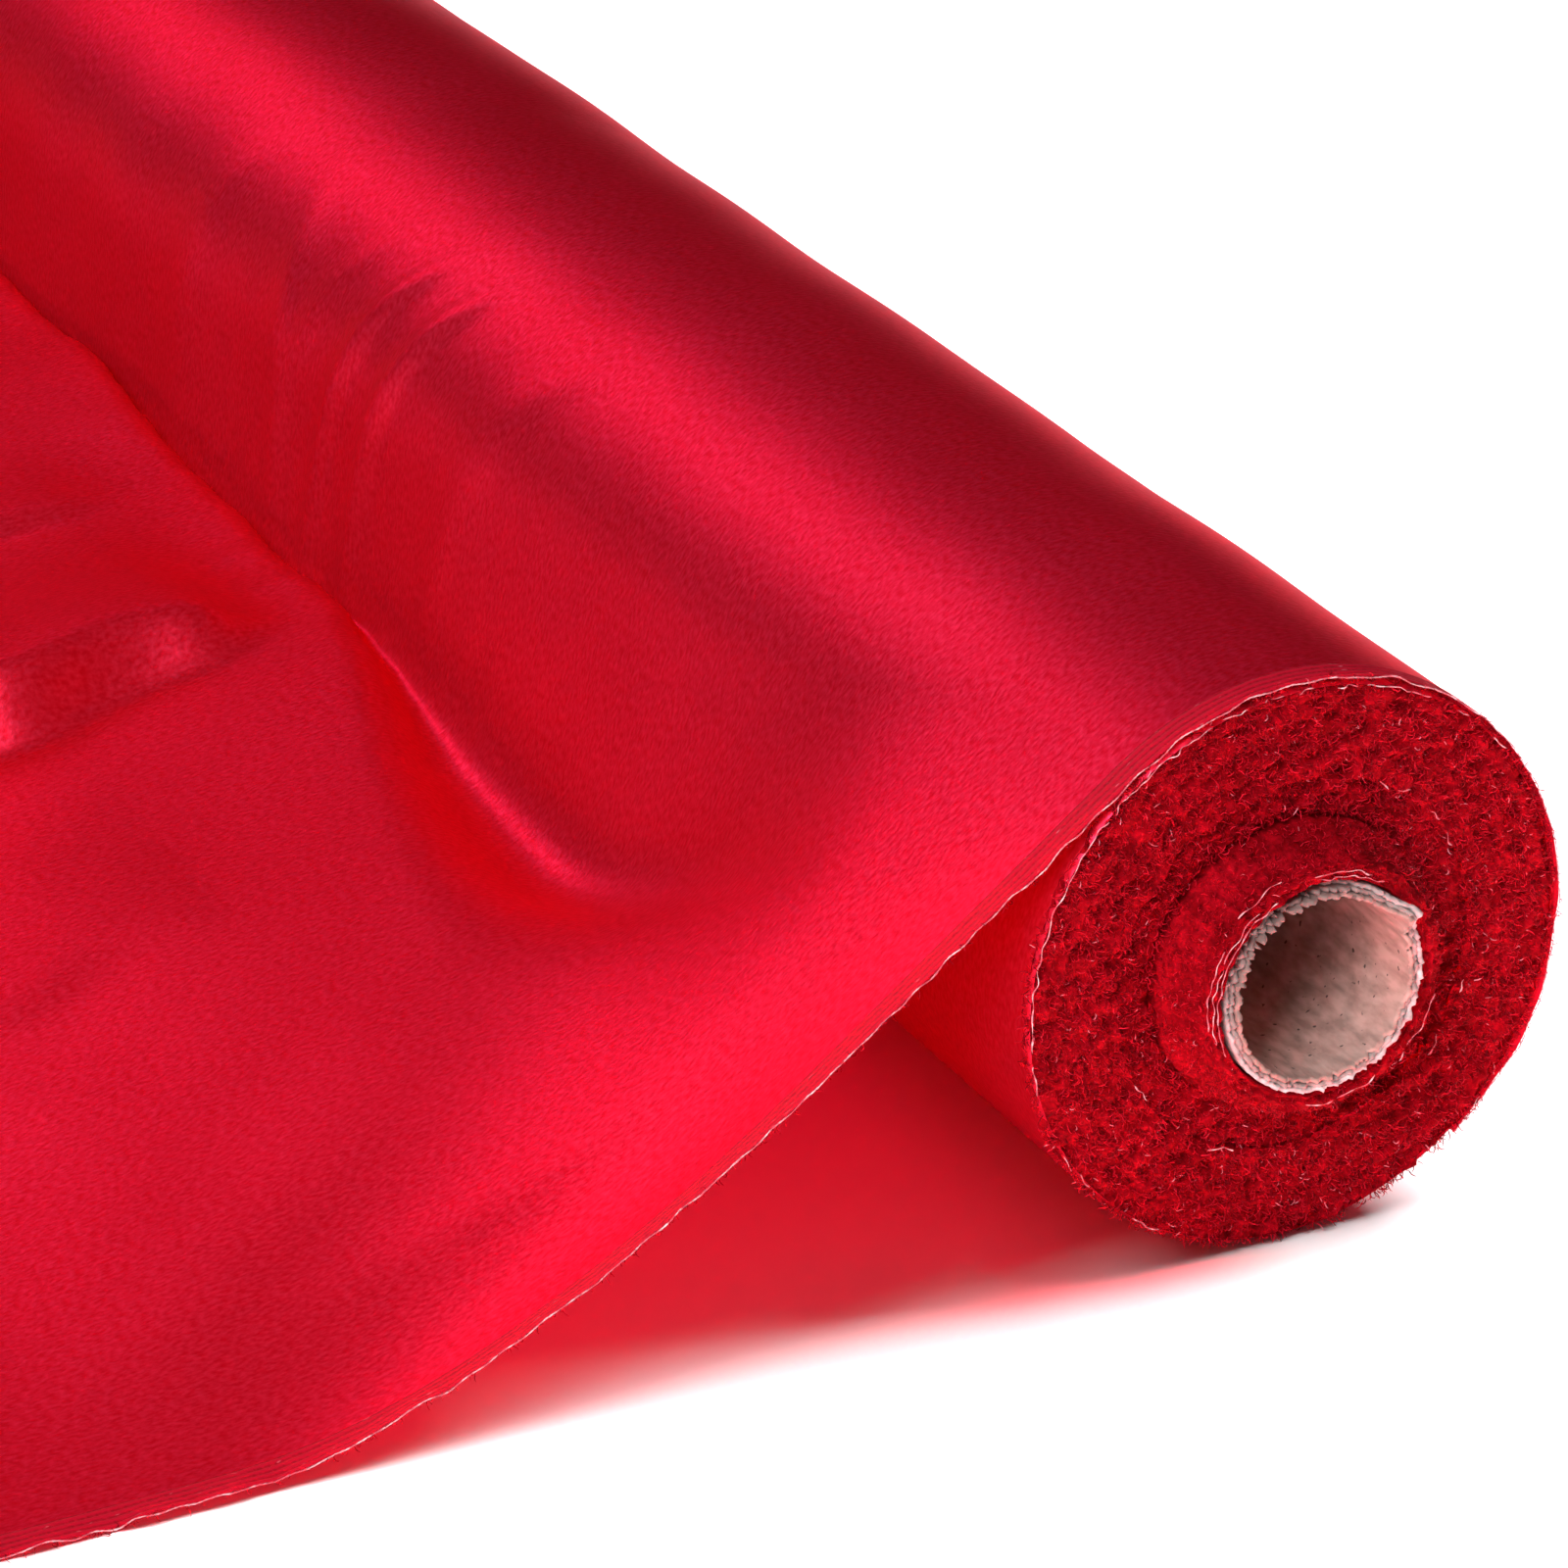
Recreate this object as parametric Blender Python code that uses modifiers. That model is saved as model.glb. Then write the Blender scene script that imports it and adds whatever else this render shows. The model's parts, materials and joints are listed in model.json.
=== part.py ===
"""A bolt of satin on a paperboard core, with its last turn paying off the top onto the floor.

The roll lies along Y, its near end at -Y, and the cloth runs off it towards -X. The origin is
the middle of the whole object's footprint, on the floor. Every length is in metres.
"""

import math

import bpy
from mathutils import Vector

# Driving dimensions.
CLOTH_WIDTH = 1.500  # selvedge to selvedge, and so the roll's length
ROLL_RADIUS = 0.060
CORE_BORE_RADIUS = 0.019
CORE_RADIUS = 0.022
COLLAR_RADIUS = 0.031  # of the first turns, which are glued to the core and move with it
MIDDLE_RADIUS = 0.040  # where a looser turn parts the inner winding from the outer one
WRAP_THICKNESS = 0.002  # of the last few turns, wound as one node
CORE_PROTRUSION = 0.012  # the core has crept this far out of the near end
COLLAR_SETBACK = 0.0015  # from the core's end to the collar's
WINDING_SETBACK = 0.0012  # each winding further in ends this much deeper
TAIL_REACH = 0.560  # from the roll's axis to the cloth's cut end
FOLD_REACH = 0.380  # from the roll's axis to the line where the loose end folds
SHEET_THICKNESS = 0.001
SELVEDGE_WIDTH = 0.008
EDGE_THREAD_RADIUS = 0.0004
CUT_EDGE_LENGTH = 0.004
TAPE_LENGTH = 0.060
TAPE_ARC = math.radians(70)

# Clearances.
GAP = 0.0003
WRAP_CLEARANCE = 0.0009  # the last turn keeps this far off the roll, which turns inside it
SHEET_GAP = 0.0006  # between two pieces of one sheet

# How the cloth leaves the roll. Angles are seen from the near end, from +X over the top.
WRAP_START = math.radians(-45)
CREASE_OUT_FAR = 0.063  # from the roll's axis to the crease, away from the cloth's edges
CREASE_OUT_EDGE = 0.115  # how much further out the crease is at an edge
CREASE_OUT_FADE = 0.110
CREASE_HEIGHT_EDGE = 0.003  # above the floor, at an edge
CREASE_HEIGHT_RISE = 0.030
CREASE_HEIGHT_FADE = 0.060
CREASE_ROUND_FAR = 0.008  # length of each leg that the crease's bend takes
CREASE_ROUND_EDGE = 0.100
CREASE_ROUND_FADE = 0.060
LANDING_REACH = 0.255  # from the roll's axis to where the cloth meets the floor
LANDING_ROUND = 0.030

# Facets.
RING_STEPS = 32
WRAP_STEPS = 24
LEG_STEPS = 2
CREASE_STEPS = 6
LANDING_STEPS = 3
EDGE_STATIONS = (0.0, 0.02, 0.04, 0.06, 0.08, 0.10, 0.13, 0.17, 0.22, 0.30, 0.42, 0.58)

# Places that follow from them.
WRAP_RADIUS = ROLL_RADIUS + WRAP_CLEARANCE + SHEET_THICKNESS / 2  # middle of the last turn
AXIS_X = (TAIL_REACH - WRAP_RADIUS - SHEET_THICKNESS / 2) / 2
AXIS_Z = ROLL_RADIUS
THREAD_REACH = GAP + 2 * EDGE_THREAD_RADIUS  # how far an edge thread stands out past its edge
NEAR_Y = -(CLOTH_WIDTH + CORE_PROTRUSION + THREAD_REACH) / 2 + CORE_PROTRUSION
FAR_Y = NEAR_Y + CLOTH_WIDTH
FLOOR_Z = SHEET_THICKNESS / 2  # middle of a sheet that lies on the floor
FOLD_X = AXIS_X - FOLD_REACH
CUT_X = AXIS_X - TAIL_REACH


def clear_scene():
    """Removes every object of the startup scene."""
    for obj in list(bpy.data.objects):
        bpy.data.objects.remove(obj, do_unlink=True)


def new_collection(name):
    collection = bpy.data.collections.new(name)
    bpy.context.scene.collection.children.link(collection)
    return collection


def material(name, colour, roughness):
    """A plain Principled material."""
    made = bpy.data.materials.new(name)
    made.use_nodes = True
    shader = made.node_tree.nodes["Principled BSDF"]
    shader.inputs["Base Color"].default_value = (*colour, 1.0)
    shader.inputs["Roughness"].default_value = roughness
    shader.inputs["Metallic"].default_value = 0.0
    return made


def empty_at(collection, name, place):
    """An empty on a joint's axis, for that joint's pieces to be parented to."""
    empty = bpy.data.objects.new(name, None)
    empty.location = place
    empty.empty_display_size = 0.05
    collection.objects.link(empty)
    return empty


def add(collection, parent, name, data, finish):
    """A new object of this data, under its joint's empty, with its own copy of the finish."""
    data.materials.append(material(name, *finish))
    obj = bpy.data.objects.new(name, data)
    collection.objects.link(obj)
    obj.parent = parent
    return obj


def ring(collection, parent, name, radii, ends, finish):
    """A turned ring about the roll's axis, between two radii and two places along it."""
    inner, outer = radii
    near, far = ends
    profile = [(outer, far), (outer, near), (inner, near), (inner, far)]
    mesh = bpy.data.meshes.new(name)
    edges = [(i, (i + 1) % len(profile)) for i in range(len(profile))]
    mesh.from_pydata([(r, 0.0, y) for r, y in profile], edges, [])
    obj = add(collection, parent, name, mesh, finish)
    # The profile is turned about its own Z, which the rotation lays along the roll.
    obj.rotation_euler = (-math.pi / 2, 0.0, 0.0)
    obj.location = Vector((AXIS_X, 0.0, AXIS_Z)) - parent.location
    screw = obj.modifiers.new("turned", "SCREW")
    screw.steps = RING_STEPS
    screw.render_steps = RING_STEPS
    screw.use_merge_vertices = True
    screw.merge_threshold = 0.0001
    screw.use_smooth_shade = True
    return obj


def tape(collection, parent, name, finish):
    """The strip of adhesive tape that holds the cloth's first end to the core."""
    inner = CORE_RADIUS + GAP
    outer = inner + GAP
    steps = 8
    angles = [TAPE_ARC * (i / steps - 0.5) for i in range(steps + 1)]
    rim = [(outer * math.cos(a), outer * math.sin(a)) for a in angles]
    rim += [(inner * math.cos(a), inner * math.sin(a)) for a in reversed(angles)]
    curve = bpy.data.curves.new(name, "CURVE")
    curve.dimensions = "2D"
    curve.fill_mode = "BOTH"
    curve.extrude = TAPE_LENGTH / 2
    spline = curve.splines.new("POLY")
    spline.points.add(len(rim) - 1)
    for point, (x, y) in zip(spline.points, rim):
        point.co = (x, y, 0.0, 1.0)
    spline.use_cyclic_u = True
    obj = add(collection, parent, name, curve, finish)
    obj.rotation_euler = (-math.pi / 2, 0.0, 0.0)
    obj.location = Vector((AXIS_X, (NEAR_Y + FAR_Y) / 2, AXIS_Z)) - parent.location
    return obj


def crease(from_edge):
    """The corner of the section (reach from the axis, height) and the length its bend takes."""
    reach = CREASE_OUT_FAR + CREASE_OUT_EDGE * math.exp(-from_edge / CREASE_OUT_FADE)
    rise = 1 - math.exp(-((from_edge / CREASE_HEIGHT_FADE) ** 2))
    height = CREASE_HEIGHT_EDGE + CREASE_HEIGHT_RISE * rise
    fade = math.exp(-((from_edge / CREASE_ROUND_FADE) ** 1.5))
    return reach, height, CREASE_ROUND_FAR + CREASE_ROUND_EDGE * fade


def bend(before, corner, after, steps):
    """Points of a quadratic curve that rounds a corner, without the first one."""
    points = []
    for i in range(1, steps + 1):
        t = i / steps
        points.append(before * (1 - t) ** 2 + corner * (2 * t * (1 - t)) + after * t * t)
    return points


def straight(start, end, steps):
    """Points from start to end, without the first one."""
    return [start.lerp(end, i / steps) for i in range(1, steps + 1)]


def tail_section(y):
    """The sheet's middle line across X and Z at one place along the roll.

    It follows the last turn over the roll, runs straight to the crease along the tangent, and
    slopes from there to the floor and along it to the fold line.
    """
    from_edge = max(0.0, min(y - NEAR_Y, FAR_Y - y))
    reach, height, rounding = crease(from_edge)
    axis = Vector((AXIS_X, AXIS_Z))
    corner = Vector((AXIS_X - reach, height + FLOOR_Z))
    away = corner - axis
    leave = math.atan2(away.y, away.x) % (2 * math.pi) - math.acos(WRAP_RADIUS / away.length)
    angles = [WRAP_START + (leave - WRAP_START) * i / WRAP_STEPS for i in range(WRAP_STEPS + 1)]
    points = [axis + WRAP_RADIUS * Vector((math.cos(a), math.sin(a))) for a in angles]

    landing = Vector((AXIS_X - LANDING_REACH, FLOOR_Z))
    up = (points[-1] - corner).normalized()
    down = (landing - corner).normalized()
    bend_start = corner + up * min(rounding, 0.9 * (points[-1] - corner).length)
    bend_end = corner + down * min(rounding, 0.6 * (landing - corner).length)
    points += straight(points[-1], bend_start, LEG_STEPS)
    points += bend(bend_start, corner, bend_end, CREASE_STEPS)

    touch_start = landing - down * LANDING_ROUND
    touch_end = landing + Vector((-LANDING_ROUND, 0.0))
    points += straight(bend_end, touch_start, LEG_STEPS)
    points += bend(touch_start, landing, touch_end, LANDING_STEPS)
    points += straight(touch_end, Vector((FOLD_X + SHEET_GAP / 2, FLOOR_Z)), 1)
    return points


def sheet(collection, parent, name, stations, finish):
    """A closed sheet through the tail's section at each station along the roll."""
    sections = [tail_section(y) for y in stations]
    count = len(sections[0])
    verts = [(p.x, y, p.y) for y, section in zip(stations, sections) for p in section]
    faces = []
    for row in range(len(stations) - 1):
        for col in range(count - 1):
            at = row * count + col
            faces.append((at, at + count, at + count + 1, at + 1))
    mesh = bpy.data.meshes.new(name)
    mesh.from_pydata(verts, [], faces)
    mesh.shade_smooth()
    obj = add(collection, parent, name, mesh, finish)
    solidify = obj.modifiers.new("thickness", "SOLIDIFY")
    solidify.thickness = SHEET_THICKNESS
    solidify.offset = 0.0
    return obj


def box(collection, parent, name, low, high, finish):
    """A plain box between two corners, its origin at its parent's."""
    bpy.ops.mesh.primitive_cube_add(size=1.0)
    cube = bpy.context.object
    mesh = cube.data
    mesh.name = name
    bpy.data.objects.remove(cube, do_unlink=True)
    low, high = Vector(low), Vector(high)
    for vertex in mesh.vertices:
        share = vertex.co + Vector((0.5, 0.5, 0.5))
        spot = Vector(a + (b - a) * s for a, b, s in zip(low, high, share))
        vertex.co = spot - parent.location
    return add(collection, parent, name, mesh, finish)


def thread(collection, parent, name, points, finish):
    """A thin round thread through these points."""
    curve = bpy.data.curves.new(name, "CURVE")
    curve.dimensions = "3D"
    curve.bevel_depth = EDGE_THREAD_RADIUS
    curve.bevel_resolution = 2
    curve.use_fill_caps = True
    spline = curve.splines.new("POLY")
    spline.points.add(len(points) - 1)
    for point, place in zip(spline.points, points):
        point.co = (*(Vector(place) - parent.location), 1.0)
    return add(collection, parent, name, curve, finish)


PAPERBOARD_INNER = ((0.42, 0.24, 0.20), 0.85)
PAPERBOARD = ((0.30, 0.17, 0.15), 0.90)
PAPERBOARD_OUTER = ((0.26, 0.20, 0.19), 0.80)
TAPE_FILM = ((0.75, 0.62, 0.40), 0.35)
SATIN = ((0.72, 0.010, 0.035), 0.35)
WOUND_EDGE = ((0.28, 0.003, 0.012), 0.90)
SELVEDGE = ((0.42, 0.003, 0.015), 0.55)
PALE_THREAD = ((0.85, 0.35, 0.38), 0.70)


def build_core(collection, parent):
    """Three plies of the spiral-wound tube, the tape, and the turns glued to them."""
    near, far = NEAR_Y - CORE_PROTRUSION, FAR_Y - CORE_PROTRUSION
    ply = (CORE_RADIUS - CORE_BORE_RADIUS - 2 * GAP) / 3
    finishes = (PAPERBOARD_INNER, PAPERBOARD, PAPERBOARD_OUTER)
    for i, (name, finish) in enumerate(zip(("inner", "body", "outer"), finishes)):
        inside = CORE_BORE_RADIUS + i * (ply + GAP)
        ring(collection, parent, f"core_{name}_ply", (inside, inside + ply), (near, far), finish)
    tape(collection, parent, "start_tape", TAPE_FILM)
    collar = (CORE_RADIUS + 3 * GAP, COLLAR_RADIUS)
    ends = (near + COLLAR_SETBACK, far - COLLAR_SETBACK)
    ring(collection, parent, "first_turns", collar, ends, WOUND_EDGE)


def build_roll(collection, parent):
    """The windings from the collar out, with the pale edge threads that show on the ends."""
    wrap = (ROLL_RADIUS - WRAP_THICKNESS, ROLL_RADIUS)
    outer = (MIDDLE_RADIUS, wrap[0] - GAP)
    inner = (COLLAR_RADIUS + GAP, MIDDLE_RADIUS - GAP)
    windings = (("outer_turns", wrap), ("outer_winding", outer), ("inner_winding", inner))
    for i, (name, radii) in enumerate(windings):
        ends = (NEAR_Y + i * WINDING_SETBACK, FAR_Y - i * WINDING_SETBACK)
        ring(collection, parent, name, radii, ends, WOUND_EDGE if i else SATIN)

    thread_width = 2 * EDGE_THREAD_RADIUS
    lines = (("rim", ROLL_RADIUS - WRAP_THICKNESS / 2, 0), ("middle", MIDDLE_RADIUS + GAP, 1))
    for name, radius, depth in lines:
        radii = (radius, radius + thread_width)
        near = NEAR_Y + depth * WINDING_SETBACK - GAP
        far = FAR_Y - depth * WINDING_SETBACK + GAP
        ring(collection, parent, f"near_{name}_thread", radii, (near - thread_width, near), PALE_THREAD)
        ring(collection, parent, f"far_{name}_thread", radii, (far, far + thread_width), PALE_THREAD)


def build_tail(collection, parent):
    """The last turn and the draped cloth, with a selvedge and an edge thread at each side."""
    near_inside, far_inside = NEAR_Y + SELVEDGE_WIDTH, FAR_Y - SELVEDGE_WIDTH
    half = [near_inside + s for s in EDGE_STATIONS]
    other_half = [far_inside - s for s in reversed(EDGE_STATIONS)]
    sheet(collection, parent, "cloth_tail", half + other_half, SATIN)
    sheet(collection, parent, "near_selvedge", (NEAR_Y, near_inside - SHEET_GAP), SELVEDGE)
    sheet(collection, parent, "far_selvedge", (far_inside + SHEET_GAP, FAR_Y), SELVEDGE)
    aside = GAP + EDGE_THREAD_RADIUS
    for name, edge, y in (("near", NEAR_Y, NEAR_Y - aside), ("far", FAR_Y, FAR_Y + aside)):
        points = [(p.x, y, p.y) for p in tail_section(edge)]
        thread(collection, parent, f"{name}_edge_thread", points, PALE_THREAD)


def build_loose_end(collection, parent):
    """The flat end of the cloth past the fold line, out to its frayed cut."""
    top = SHEET_THICKNESS
    start, end = FOLD_X - SHEET_GAP / 2, CUT_X + CUT_EDGE_LENGTH
    near_inside, far_inside = NEAR_Y + SELVEDGE_WIDTH, FAR_Y - SELVEDGE_WIDTH
    box(collection, parent, "loose_end", (end, near_inside, 0), (start, far_inside, top), SATIN)
    strips = (("near", NEAR_Y, near_inside - SHEET_GAP), ("far", far_inside + SHEET_GAP, FAR_Y))
    for name, low_y, high_y in strips:
        low, high = (end, low_y, 0), (start, high_y, top)
        box(collection, parent, f"loose_end_{name}_selvedge", low, high, SELVEDGE)
    aside = GAP + EDGE_THREAD_RADIUS
    for name, y in (("near", NEAR_Y - aside), ("far", FAR_Y + aside)):
        points = [(start, y, FLOOR_Z), (end, y, FLOOR_Z)]
        thread(collection, parent, f"loose_end_{name}_thread", points, PALE_THREAD)
    low, high = (CUT_X, NEAR_Y, 0), (end - SHEET_GAP, FAR_Y, top)
    box(collection, parent, "cut_edge", low, high, SELVEDGE)


def main():
    clear_scene()
    bolt = new_collection("fabric_bolt")
    tail = empty_at(bolt, "tail_body", (0.0, 0.0, 0.0))
    roll = empty_at(bolt, "roll_turn_axis", (AXIS_X, 0.0, AXIS_Z))
    core = empty_at(bolt, "core_slide_axis", (AXIS_X, 0.0, AXIS_Z))
    fold = empty_at(bolt, "tail_fold_axis", (FOLD_X, 0.0, SHEET_THICKNESS))
    build_core(bolt, core)
    build_roll(bolt, roll)
    build_tail(bolt, tail)
    build_loose_end(bolt, fold)


main()
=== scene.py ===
"""A bolt of red satin wound on a paperboard core, with one length of cloth paid off it.

The roll lies along Y with its near end at -Y. The cloth runs off the top towards -X, down into a
dip, up over the crest of a crease, and out along the floor. Every length is in metres, and the
bolt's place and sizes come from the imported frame.
"""

import json
import logging
import math
from dataclasses import dataclass
from enum import Enum
from typing import Dict, List, Optional, Sequence, Tuple

import bpy
import numpy as np
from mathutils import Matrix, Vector

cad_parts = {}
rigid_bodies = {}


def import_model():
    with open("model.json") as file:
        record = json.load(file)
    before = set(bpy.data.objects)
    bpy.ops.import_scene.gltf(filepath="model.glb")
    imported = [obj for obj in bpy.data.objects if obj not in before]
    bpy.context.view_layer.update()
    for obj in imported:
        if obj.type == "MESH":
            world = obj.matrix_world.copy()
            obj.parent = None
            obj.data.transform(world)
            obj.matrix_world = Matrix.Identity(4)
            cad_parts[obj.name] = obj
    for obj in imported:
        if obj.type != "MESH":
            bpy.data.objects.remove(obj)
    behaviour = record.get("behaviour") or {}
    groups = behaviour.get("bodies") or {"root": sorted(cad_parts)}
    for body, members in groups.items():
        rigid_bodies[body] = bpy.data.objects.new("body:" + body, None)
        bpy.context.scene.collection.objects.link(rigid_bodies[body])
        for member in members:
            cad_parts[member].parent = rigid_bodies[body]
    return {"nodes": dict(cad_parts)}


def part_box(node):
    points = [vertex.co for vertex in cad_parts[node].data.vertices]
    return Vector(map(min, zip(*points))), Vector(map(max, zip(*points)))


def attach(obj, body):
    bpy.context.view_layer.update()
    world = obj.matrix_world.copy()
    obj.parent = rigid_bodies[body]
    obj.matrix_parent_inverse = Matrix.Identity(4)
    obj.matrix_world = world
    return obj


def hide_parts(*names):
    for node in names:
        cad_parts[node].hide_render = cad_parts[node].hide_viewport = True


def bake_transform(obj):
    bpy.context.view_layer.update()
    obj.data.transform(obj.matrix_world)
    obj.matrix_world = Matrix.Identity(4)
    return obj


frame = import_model()
bpy.context.view_layer.update()

log = logging.getLogger("fabric_bolt")
Triple = Tuple[float, float, float]
Colour = Triple
Socket = bpy.types.NodeSocket
TURN = 2 * math.pi
DRAWN_WIDTH = 1.5  # the width that the cloth's stations are laid out on
SPECK_EDGE = 0.76  # where a speck reaches its full colour
SHADER_SOCKETS = {
    "level": "Specular IOR Level",
    "tint": "Specular Tint",
    "metallic": "Metallic",
    "sheen": "Sheen Weight",
}
THIN_PIECES = (
    "satin_cloth",
    "near_selvedge_strip",
    "far_selvedge_strip",
    "near_thread_on_edge",
    "far_thread_on_edge",
    "near_edge_fringe",
    "far_edge_fringe",
    "frayed_cut_edge",
)


class Side(Enum):
    """The two ends of the roll, which are also the cloth's two selvedges."""

    NEAR = -1
    FAR = 1

    @property
    def word(self) -> str:
        """The side's name in the names of pieces."""
        return self.name.lower()


class Lit(Enum):
    """What a light falls on."""

    BOLT = "bolt"
    FLOOR = "floor"
    THROUGH = "through"  # the floor, as thin satin lets it through


# ---------------------------------------------------------------- measures


@dataclass(frozen=True)
class Bolt:
    """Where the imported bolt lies, read from its own pieces."""

    axis_x: float
    axis_z: float
    radius: float
    near_y: float
    far_y: float
    fold_x: float
    cut_x: float
    core_near_y: float
    core_far_y: float
    core_radius: float
    collar_radius: float
    middle_radius: float
    bore_radius: float = 0.019
    selvedge: float = 0.0068

    @classmethod
    def from_frame(cls) -> "Bolt":
        """Reads the bolt's measures from the boxes of the CAD pieces.

        Returns:
            The measures, in the frame's own metres.
        """
        low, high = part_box("outer_turns")
        core_low, core_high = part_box("core_outer_ply")
        collar_low, collar_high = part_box("first_turns")
        winding_low, winding_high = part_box("inner_winding")
        return cls(
            axis_x=(low.x + high.x) / 2,
            axis_z=(low.z + high.z) / 2,
            radius=(high.x - low.x) / 2,
            near_y=low.y,
            far_y=high.y,
            fold_x=(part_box("cloth_tail")[0].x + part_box("loose_end")[1].x) / 2,
            cut_x=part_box("cut_edge")[0].x,
            core_near_y=core_low.y,
            core_far_y=core_high.y,
            core_radius=(core_high.x - core_low.x) / 2,
            collar_radius=(collar_high.x - collar_low.x) / 2,
            middle_radius=(winding_high.x - winding_low.x) / 2,
        )

    @property
    def width(self) -> float:
        """The cloth's width, selvedge to selvedge."""
        return self.far_y - self.near_y

    def from_edge(self, y: np.ndarray) -> np.ndarray:
        """How far each place along the roll is from the nearer end."""
        return np.minimum(y - self.near_y, self.far_y - y)

    def face_y(self, side: Side) -> float:
        """Where the roll's end face lies on that side."""
        return self.near_y if side is Side.NEAR else self.far_y

    def around(self, angle: np.ndarray, radius: np.ndarray, y: np.ndarray) -> np.ndarray:
        """Points about the roll's axis.

        Args:
            angle: Angles from +X over the top, in radians.
            radius: Distance from the axis.
            y: Place along the roll.

        Returns:
            The points, with their coordinates in the last dimension.
        """
        angle, radius, y = np.broadcast_arrays(angle, radius, y)
        across = self.axis_x + radius * np.cos(angle)
        return np.stack([across, y, self.axis_z + radius * np.sin(angle)], axis=-1)


# ---------------------------------------------------------------- numbers


def ease(share: np.ndarray) -> np.ndarray:
    """A smooth step from 0 to 1 as share goes from 0 to 1."""
    held = np.clip(share, 0.0, 1.0)
    return held * held * (3 - 2 * held)


def bump(offset: np.ndarray, width: float) -> np.ndarray:
    """A bell of height 1 and this half width."""
    return np.exp(-((offset / width) ** 2))


def wander(seed: int, wavelength: float, *places: np.ndarray, waves: int = 7) -> np.ndarray:
    """A smooth, irregular, repeatable wave through any number of coordinates.

    Args:
        seed: Chooses the wave.
        wavelength: Its usual length from crest to crest.
        places: The coordinates it runs over, in the same unit as the wavelength.
        waves: How many plain waves are added up.

    Returns:
        Values spread about 0 with a standard deviation near 1.
    """
    random = np.random.default_rng(seed)
    total = 0.0
    for _ in range(waves):
        direction = random.normal(size=len(places))
        direction /= np.linalg.norm(direction)
        length = wavelength * random.uniform(0.6, 1.7)
        phase = sum(part * place for part, place in zip(direction, places))
        total = total + np.sin(TURN * (phase / length + random.random()))
    return total * math.sqrt(2 / waves)


def ring_wander(seed: int, count: int, angle: np.ndarray) -> np.ndarray:
    """A wander that closes on itself round a ring, with about count crests."""
    return wander(seed, 2 / count, np.cos(angle), np.sin(angle))


def ring_angles(count: int) -> np.ndarray:
    """Evenly spaced angles round a ring, as one row."""
    return (np.arange(count) * TURN / count)[None, :]


def about(angle: np.ndarray, degrees: float, width: float) -> np.ndarray:
    """A bell round a ring, about one angle."""
    return bump(np.mod(angle - math.radians(degrees) + math.pi, TURN) - math.pi, width)


def on_end(radius: np.ndarray, angle: np.ndarray) -> Tuple[np.ndarray, np.ndarray]:
    """Places on an end of the roll, across and up from its axis."""
    return radius * np.cos(angle), radius * np.sin(angle)


def outwards(angle: np.ndarray) -> np.ndarray:
    """The direction straight out from the roll's axis at each angle."""
    return np.stack([np.cos(angle), np.zeros_like(angle), np.sin(angle)], axis=-1)


def runs(flags: np.ndarray) -> List[Tuple[int, int]]:
    """The (start, end) of each unbroken run of true flags."""
    edges = np.flatnonzero(np.diff(np.concatenate([[0], flags.astype(int), [0]])))
    return list(zip(edges[::2].tolist(), edges[1::2].tolist()))


# ---------------------------------------------------------------- meshes


def grid_faces(
    rows: int, columns: int, closed_rows: bool = False, closed_columns: bool = False
) -> np.ndarray:
    """The quads of a grid of points.

    Args:
        rows: Points down the grid.
        columns: Points across it.
        closed_rows: Whether the last row joins the first.
        closed_columns: Whether the last column joins the first.

    Returns:
        One row of four point numbers for each quad.
    """
    numbers = np.arange(rows * columns).reshape(rows, columns)
    if closed_rows:
        numbers = np.concatenate([numbers, numbers[:1]])
    if closed_columns:
        numbers = np.concatenate([numbers, numbers[:, :1]], axis=1)
    corners = (numbers[:-1, :-1], numbers[:-1, 1:], numbers[1:, 1:], numbers[1:, :-1])
    return np.stack([corner.ravel() for corner in corners], axis=1)


def mesh_object(
    name: str,
    points: np.ndarray,
    faces: np.ndarray,
    material: Optional[bpy.types.Material] = None,
    uv: Optional[np.ndarray] = None,
    shades: Optional[Dict[str, np.ndarray]] = None,
) -> bpy.types.Object:
    """A smooth-shaded mesh object in the scene, its place in its mesh.

    Args:
        name: The object's name.
        points: Its points, one row each.
        faces: Its quads, one row of point numbers each.
        material: What it is made of.
        uv: The place of each point on the flat cloth, in metres.
        shades: Named numbers or vectors kept at each point.

    Returns:
        The new object.
    """
    mesh = bpy.data.meshes.new(name)
    points = points.reshape(-1, 3)
    mesh.vertices.add(len(points))
    mesh.vertices.foreach_set("co", points.astype(np.float32).ravel())
    mesh.loops.add(faces.size)
    mesh.loops.foreach_set("vertex_index", faces.astype(np.int32).ravel())
    mesh.polygons.add(len(faces))
    sides = faces.shape[1]
    mesh.polygons.foreach_set("loop_start", np.arange(0, faces.size, sides, dtype=np.int32))
    mesh.update(calc_edges=True)
    mesh.validate()
    mesh.shade_smooth()
    if uv is not None:
        layer = mesh.uv_layers.new(name="cloth")
        layer.data.foreach_set("uv", uv.reshape(-1, 2)[faces.ravel()].astype(np.float32).ravel())
    for label, values in (shades or {}).items():
        kind, field = ("FLOAT_VECTOR", "vector") if values.ndim > 1 else ("FLOAT", "value")
        attribute = mesh.attributes.new(label, kind, "POINT")
        attribute.data.foreach_set(field, values.astype(np.float32).ravel())
    if material is not None:
        mesh.materials.append(material)
    obj = bpy.data.objects.new(name, mesh)
    bpy.context.scene.collection.objects.link(obj)
    return obj


def on_cloth(across: np.ndarray, run: np.ndarray) -> np.ndarray:
    """The place on the flat cloth of each point of a grid.

    Args:
        across: The place of each row across the cloth.
        run: The place of each point along it, rows as in the grid.

    Returns:
        The two together, in the last dimension.
    """
    return np.stack([np.repeat(across[:, None], run.shape[1], axis=1), run], axis=-1)


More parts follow.
